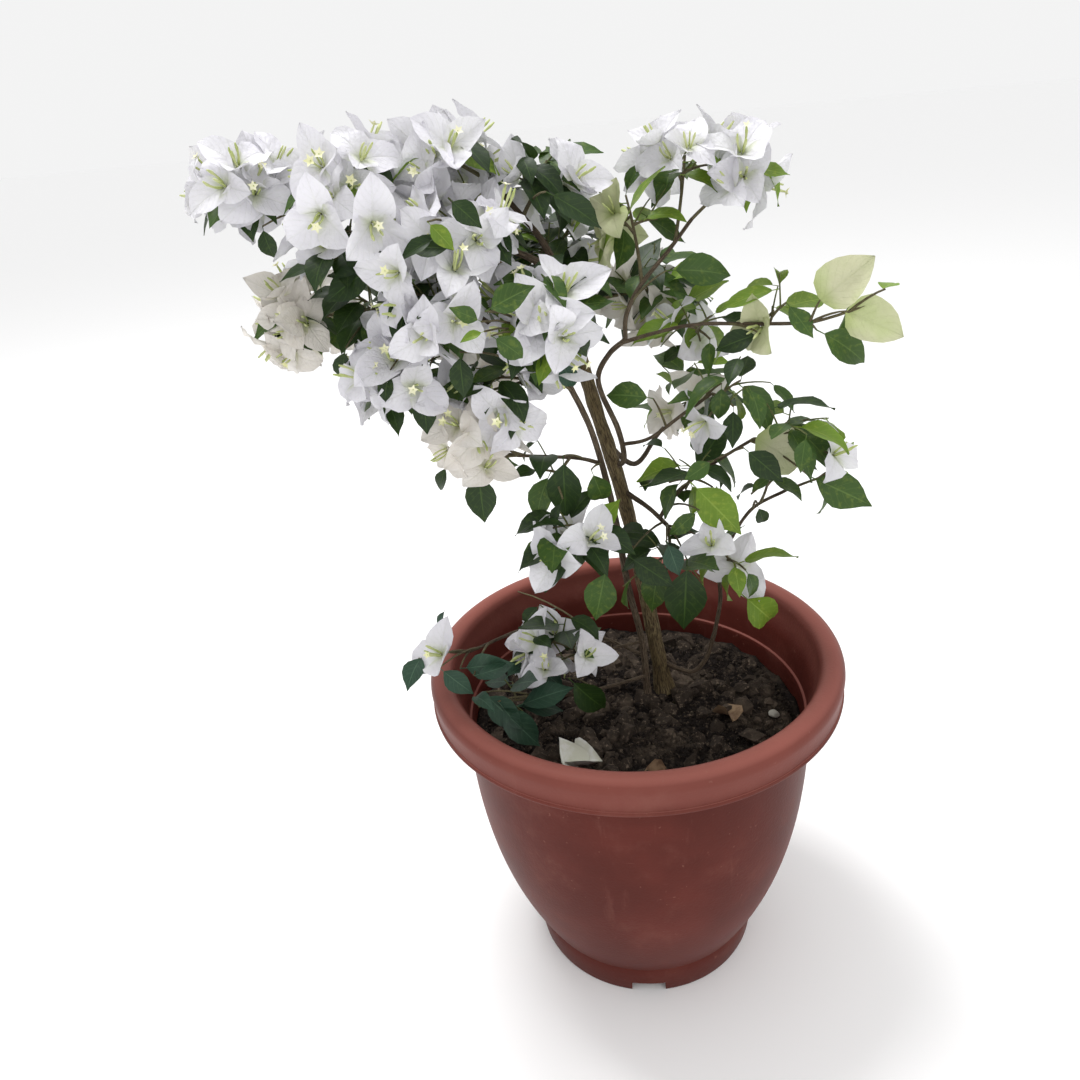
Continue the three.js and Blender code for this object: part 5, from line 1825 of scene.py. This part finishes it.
@dataclass
class Soil:
    """The potting soil: a closed body with a lumpy top, and the clods and crumbs on it."""

    pot: Pot
    level: float = 233.0
    crown: float = 238.7
    crown_radius: float = 62.0
    lump: float = 8.5
    lump_scale: float = 0.045
    sink: float = 1.6
    wall_gap: float = 0.9
    floor_gap: float = 0.5
    foot_gap: float = 3.0
    rings: int = 46
    sides: int = 150

    def top(self, x: float, y: float) -> float:
        """Measure the soil's top.

        Args:
            x: How far to the right.
            y: How far back.

        Returns:
            Its height there.
        """
        run = self.pot.neck_radius - self.crown_radius
        share = min(1.0, max(0.0, (math.hypot(x, y) - self.crown_radius) / run))
        slope = share * share * (3 - 2 * share)
        height = self.crown + (self.level - self.crown) * slope
        place = Vector((x * self.lump_scale, y * self.lump_scale, 0.0))
        coarse, fine = noise.noise(place), noise.noise(place * 9.0)
        lumps = abs(noise.noise(place * 3.1 + Vector((5, 0, 0))))
        return height - self.sink + self.lump * (0.5 * coarse + 0.6 * lumps) + 0.9 * fine

    def room(self, height: float) -> float:
        """Return the radius that the pot leaves for the soil at a height."""
        return self.pot.wall_radius(height) - self.pot.wall - self.wall_gap

    def build(self, finish: SoilFinish, clod: SoilFinish, scatter: GeometryTree) -> None:
        """Make the soil and what is scattered on it.

        Args:
            finish: The finish of the soil and its crumbs.
            clod: The finish of the paler clods.
            scatter: The tree that scatters crumbs.
        """
        edge = self.room(self.level)
        rows = [ring(edge * i / self.rings, 0.0, self.sides) for i in range(self.rings + 1)]
        top = [[(x, y, self.top(x, y)) for x, y, _ in row] for row in rows]
        plan = (
            ("soil_crumbs", 0.5, finish, 5, (130000.0, 0.0016, 0.0065, 11)),
            ("soil_clods", 0.9, clod, 11, (8500.0, 0.005, 0.025, 5)),
        )
        for name, rough, look, border, (density, smallest, largest, seed) in plan:
            group = template_group(name + "_set", crumb_templates(6, rough))
            piece = scatter.mesh(name, self.disc(top, edge - border), {
                "Templates": group, "Density": density, "Smallest": smallest, "Largest": largest,
                "Seed": seed, "Material": look.material(),
            })
            settle(piece, "soil")
            drop_groups(group)
        self.body(top, finish)

    def disc(self, top: list[list[Point]], radius: float) -> bpy.types.Mesh:
        """Take the part of the soil's top that lies within a radius.

        Args:
            top: The top's rings from the middle.
            radius: The radius in millimetres.

        Returns:
            The mesh to scatter on.
        """
        points = [point for row in top for point in row]
        faces = [tuple(reversed(f)) for f in grid_faces(len(top), self.sides, closed=True)]
        kept = [f for f in faces if all(math.hypot(*points[v][:2]) < radius for v in f)]
        return mesh_from("soil_disc", points, kept)

    def body(self, top: list[list[Point]], finish: SoilFinish) -> None:
        """Make the closed body of soil under its top.

        Args:
            top: The top's rings from the middle.
            finish: The soil's finish.
        """
        pot, floor = self.pot, self.pot.floor + self.floor_gap
        hollow = pot.foot_radius - pot.foot_solid_width - self.foot_gap
        rings = [ring(hollow, height, self.sides) for height in (floor, pot.foot_solid + 1)]
        for height in (pot.foot_solid + 16, 34.0, 60.0, 100.0, 150.0, 200.0):
            rings.append(ring(min(self.room(self.level), self.room(height)), height, self.sides))
        rings += reversed(top[1:])
        piece = link("soil_bed", stacked_mesh("soil_bed", (0.0, 0.0, floor), rings, top[0][0]))
        settle(piece, "soil", "soil", finish=finish)


@dataclass(frozen=True)
class Litter:
    """What lies on the soil: a pebble, dried bracts and two that have just fallen."""

    soil: Soil
    pebble_size: Point = (10.5, 8.5, 6.5)
    curled: Blade = replace(BRACT, length=26, width=22, fold=0.5, cup=0.8, droop=1.6, ruffle=2.4)
    cupped: Blade = replace(BRACT, length=31, fold=0.95, cup=0.8, droop=-0.3, ruffle=1.0)

    def build(self) -> None:
        """Make each piece and lay it down."""
        dried = PlainFinish("dried_bract", tone(150, 124, 96), tone(104, 80, 58), 0.8)
        fallen = PlainFinish("fallen_bract", tone(238, 238, 234), tone(222, 222, 208), 0.7)
        stone = PlainFinish("pebble_stone", tone(186, 182, 172), tone(150, 146, 136), 0.7, 60)
        pebble = crumb_templates(1, 0.3, 3)[0]
        pebble.transform(Matrix.Diagonal((*(s * MM for s in self.pebble_size), 1.0)))
        smooth_mesh(pebble)
        self.lay("soil_pebble", pebble, (120, -11, 2.4), (0.2, 0.1, 0.6), stone)
        rows = (
            ("dried_bract_right", self.curled, (84, -26, 3.5), (0.5, 0.3, 0.7), dried),
            ("dried_bract_front", self.curled, (22, -84, 3.0), (0.3, -0.4, 2.4), dried),
            ("fallen_bract_left", self.cupped, (-58, -76, 0.5), (1.15, 0.0, 0.75), fallen),
            ("fallen_bract_under", self.cupped, (-54, -74, 2.0), (0.3, 0.1, -1.9), fallen),
        )
        for name, blade, place, turn, finish in rows:
            self.lay(name, blade.mesh(name), place, turn, finish)

    def lay(self, name: str, mesh: bpy.types.Mesh, place: Point, turn: Point, finish: PlainFinish) -> None:
        """Lay one mesh on the soil.

        Args:
            name: The piece's name.
            mesh: Its mesh, about the origin.
            place: Where it lies across the soil, and how far above it.
            turn: How it is turned.
            finish: Its finish.
        """
        x, y, lift = place
        move = Matrix.Translation((x * MM, y * MM, (self.soil.top(x, y) + lift) * MM))
        mesh.transform(move @ Euler(turn).to_matrix().to_4x4())
        settle(link(name, mesh), "soil", finish=finish)


def curve_object(name: str, lines: Sequence[tuple[np.ndarray, np.ndarray]]) -> bpy.types.Object:
    """Hold paths with their radii in a curve object.

    Args:
        name: The object's name.
        lines: For each path its points and its radii, in millimetres.

    Returns:
        The curve object, in metres.
    """
    data = bpy.data.curves.new(name, "CURVE")
    data.dimensions = "3D"
    for points, radii in lines:
        spline = data.splines.new("POLY")
        spline.points.add(len(points) - 1)
        flat = np.column_stack((points * MM, np.ones(len(points)))).ravel()
        spline.points.foreach_set("co", flat)
        spline.points.foreach_set("radius", radii * MM)
    return link(name, data)


def round_wood(
    tree: GeometryTree, name: str, lines: Sequence[tuple[np.ndarray, np.ndarray]], values: dict[str, Any],
) -> bpy.types.Object:
    """Make round wood along paths.

    Args:
        tree: The tree that makes limbs.
        name: The piece's name.
        lines: For each path its points and its radii, in millimetres.
        values: The tree's other inputs.

    Returns:
        The piece.
    """
    holder = curve_object(name + "_paths", lines)
    piece = tree.mesh(name, bpy.data.meshes.new("empty"), {"Curves": holder, **values})
    bpy.data.objects.remove(holder)
    return piece


@dataclass
class Wood:
    """The trunk, stems, boughs and shoots, with the relief of their bark."""

    ring_step: float = 2.2
    fewest_rings: int = 8
    sides: int = 20
    trunk_sides: int = 28
    relief: float = 0.16
    lumps: float = 0.3
    trunk: BarkFinish = BarkFinish("trunk_bark", tone(108, 94, 64), tone(128, 113, 82), tone(66, 54, 38))
    stem: BarkFinish = BarkFinish("stem_bark", tone(92, 78, 62), tone(118, 104, 86), tone(52, 42, 33))

    def curves(self) -> dict[str, tuple[Limb, Curve]]:
        """Return every limb with its path, each starting on its parent."""
        grown: dict[str, tuple[Limb, Curve]] = {}
        for limb in LIMBS:
            points = [np.array(p, float) for p in limb.path]
            if limb.parent:
                points.insert(0, grown[limb.parent][1].at(limb.at))
            grown[limb.name] = (limb, ThroughCurve(np.array(points)))
        return grown

    def build(self, grown: dict[str, tuple[Limb, Curve]], tree: GeometryTree) -> None:
        """Make one piece for each limb.

        Args:
            grown: The limbs and their paths.
            tree: The tree that makes limbs.
        """
        materials = {Bark.TRUNK: self.trunk.material(), Bark.STEM: self.stem.material()}
        for name, (limb, path) in grown.items():
            count = max(self.fewest_rings, round(path.length() / self.ring_step))
            shares = np.linspace(0, 1, count + 1)
            points = np.array([path.at(s) for s in shares])
            radii = np.array([limb.radius(s) for s in shares])
            thick = limb.radii[0]
            piece = round_wood(tree, name + "_wood", [(points, radii)], {
                "Sides": self.trunk_sides if limb.bark is Bark.TRUNK else self.sides,
                "Relief": thick * self.relief * MM, "Lumps": thick * self.lumps * MM,
                "Material": materials[limb.bark],
            })
            settle(piece, limb.bark.value, name)


@dataclass
class Foliage:
    """The crown's twigs, leaves and blossoms, joined each kind apart."""

    crown: Crown
    green_radius: float = 1.0
    twig_radius: float = 1.2
    twig_sides: int = 7
    twig_relief: float = 0.0002
    twig_lumps: float = 0.0004

    def grow(self) -> None:
        """Set what stands out first, then grow every mass round it."""
        crown, masses = self.crown, {mass.name: mass for mass in MASSES}
        for piece in STANDOUTS:
            seed = FINE_SEED + len(crown.leaves) + len(crown.blossoms)
            Grower(crown, masses[piece.mass], Seeded(seed)).show(piece)
        for index, mass in enumerate(MASSES):
            Grower(crown, mass, Seeded(FINE_SEED + index)).grow(Seeded(SEED + index))

    def twigs(self, tree: GeometryTree) -> None:
        """Make the stems and twigs as two pieces: woody ones and green ones.

        Args:
            tree: The tree that makes limbs.
        """
        woody = BarkFinish("twig_bark", tone(106, 98, 72), tone(132, 126, 92), tone(66, 56, 42))
        green = BarkFinish("green_twig", tone(104, 112, 62), tone(128, 140, 84), tone(74, 70, 44))
        groups = (
            ("twigs_woody", woody, [b for b in self.crown.branchlets if b.radii[0] > self.green_radius]),
            ("twigs_green", green, [b for b in self.crown.branchlets if b.radii[0] <= self.green_radius]),
        )
        for name, finish, chosen in groups:
            lines = []
            for branchlet in chosen:
                steps = 10 if branchlet.radii[0] > self.twig_radius else 5
                lines.append((branchlet.path.samples(steps), np.linspace(*branchlet.radii, steps + 1)))
            piece = round_wood(tree, name, lines, {
                "Sides": self.twig_sides, "Relief": self.twig_relief, "Lumps": self.twig_lumps,
                "Material": finish.material(),
            })
            settle(piece, "stem_bark", *sorted({b.mass for b in chosen}))

    def dress(self, tree: GeometryTree) -> None:
        """Make one piece for each kind of leaf, bract and flower.

        Args:
            tree: The tree that sets templates on points.
        """
        plan = (
            ("leaf", blades("leaf", LEAF, LEAF_SHAPES), "foliage", LEAF_FINISHES),
            ("bract", blades("bract", BRACT, BRACT_SHAPES), "blossom", BRACT_FINISHES),
            ("floret", FLOWER.tubes(), "blossom", TUBE_FINISHES),
            ("star", FLOWER.mouths(), "blossom", MOUTH_FINISHES),
        )
        for name, templates, slot, finishes in plan:
            group = template_group(name + "_set", templates)
            for kind, finish in finishes.items():
                values = {"Templates": group, "Size": 1.0, "Material": finish.material()}
                piece = tree.mesh(kind.value, self.crown.sprays.host(kind), values)
                settle(piece, slot, *sorted(self.crown.sprays.masses[kind]))
            drop_groups(group)


# Leaf greens: deep is partly painted shade, bright is partly painted sunlight, and the bluish green of the
# shaded leaves is painted shade.
LEAF_FINISHES = {
    LEAF_DEEP: LeafFinish("leaf_deep", tone(30, 52, 19), tone(70, 96, 40), tone(66, 86, 30), 0.3),
    LEAF_MID: LeafFinish("leaf_mid", tone(56, 84, 32), tone(98, 124, 58), tone(108, 126, 46), 0.4),
    LEAF_BRIGHT: LeafFinish("leaf_bright", tone(106, 138, 38), tone(148, 170, 72), tone(152, 166, 60), 0.4),
    LEAF_BLUE: LeafFinish("leaf_bluish", tone(40, 68, 52), tone(82, 112, 88), tone(70, 98, 72), 0.2),
}
BRACT_FINISHES = {
    kind: BractFinish(name, tone(*colour), tone(*shade), tone(*foot))
    for kind, name, colour, shade, foot in (
        (Kind.BRACT_WHITE, "bract_white", (240, 239, 243), (226, 224, 231), (204, 212, 172)),
        # White bracts with painted shade in a cream tint.
        (Kind.BRACT_CREAM, "bract_cream", (237, 233, 228), (224, 218, 210), (202, 206, 160)),
        (Kind.BRACT_GREEN, "bract_green", (192, 200, 150), (208, 206, 176), (160, 176, 100)),
    )
}
TUBE_FINISHES = {Kind.FLORET: PlainFinish("flower_tube", tone(172, 184, 110), tone(200, 206, 148))}
MOUTH_FINISHES = {Kind.STAR: PlainFinish("flower_mouth", tone(240, 238, 208), tone(228, 228, 176))}


# ---- Camera, light and stage -------------------------------------------------------------


@dataclass(frozen=True)
class View:
    """The camera: where it stands, the way it looks and its lens."""

    place: Point = (0.0, -0.6581, 0.7311)
    heading: Point = (-0.0960, 0.8949, -0.4358)
    upward: Point = (0.0492, 0.4416, 0.8959)
    lens: float = 30.0
    sensor: float = 36.0
    nearest: float = 0.01
    farthest: float = 50.0

    def build(self) -> None:
        """Make the camera and give it to the scene."""
        data = bpy.data.cameras.new("camera")
        data.lens, data.sensor_width = self.lens, self.sensor
        data.clip_start, data.clip_end = self.nearest, self.farthest
        camera = link("camera", data)
        back = -Vector(self.heading).normalized()
        right = Vector(self.upward).cross(back).normalized()
        turn = Matrix((right, back.cross(right), back)).transposed().to_4x4()
        camera.matrix_world = Matrix.Translation(self.place) @ turn
        bpy.context.scene.camera = camera


@dataclass(frozen=True)
class Studio:
    """A plain pale floor and soft light from a wide key, a fill and the sky."""

    floor_size: float = 60000.0
    floor_tone: Colour = (0.99, 0.99, 0.99, 1.0)
    sky: float = 0.9
    aim: Point = (0.0, 0.0, 0.45)

    def build(self) -> None:
        """Make the floor, the lamps and the sky."""
        half = self.floor_size / 2
        corners = [(-half, -half, 0), (half, -half, 0), (half, half, 0), (-half, half, 0)]
        floor = link("floor", mesh_from("floor", corners, [(0, 1, 2, 3)], smooth=False))
        shader = Shader("floor_paper")
        shader.set(Base_Color=self.floor_tone, Roughness=0.9)
        floor.data.materials.append(shader.material)
        self.lamp("key", (-0.7, 0.5, 2.9), 52.0, 0.9)
        self.lamp("fill", (1.2, -1.7, 1.7), 8.0, 1.6)
        world = bpy.data.worlds.new("sky")
        world.use_nodes = True
        background = world.node_tree.nodes["Background"]
        background.inputs["Color"].default_value = (1.0, 1.0, 1.0, 1.0)
        background.inputs["Strength"].default_value = self.sky
        bpy.context.scene.world = world
        bpy.context.scene.view_settings.view_transform = "Standard"

    def lamp(self, name: str, place: Point, power: float, size: float) -> None:
        """Hang one wide lamp that looks at the crown.

        Args:
            name: Its name.
            place: Where it hangs.
            power: Its power in watts.
            size: The side of its square.
        """
        data = bpy.data.lights.new(name, "AREA")
        data.energy, data.size = power, size
        lamp = link(name, data)
        lamp.location = place
        lamp.rotation_mode = "QUATERNION"
        lamp.rotation_quaternion = (Vector(self.aim) - Vector(place)).to_track_quat("-Z", "Y")


def main() -> None:
    """Build the plant in its pot, the camera and the light."""
    logging.basicConfig(level=logging.INFO, format="%(name)s %(message)s")
    View().build()
    Studio().build()
    pot, wood = Pot(), Wood()
    # The pot's body colour; a deeper mottle that also paints shade towards the foot; dust; and the painted
    # light of upward faces and the rim's lip.
    colours = (tone(97, 45, 38), tone(82, 37, 31), tone(138, 92, 82), tone(166, 104, 94))
    pot.build(PlasticFinish("pot_plastic", *colours))
    bed = Soil(pot)
    soil = SoilFinish("soil_dark", tone(26, 20, 17), tone(92, 80, 68))
    clods = SoilFinish("soil_clod", tone(54, 46, 39), tone(118, 104, 90))
    bed.build(soil, clods, scatter_tree())
    Litter(bed).build()
    limbs, grown = limb_tree(), wood.curves()
    wood.build(grown, limbs)
    foliage = Foliage(Crown(grown))
    foliage.grow()
    foliage.twigs(limbs)
    foliage.dress(spray_tree())


if __name__ == "__main__":
    main()
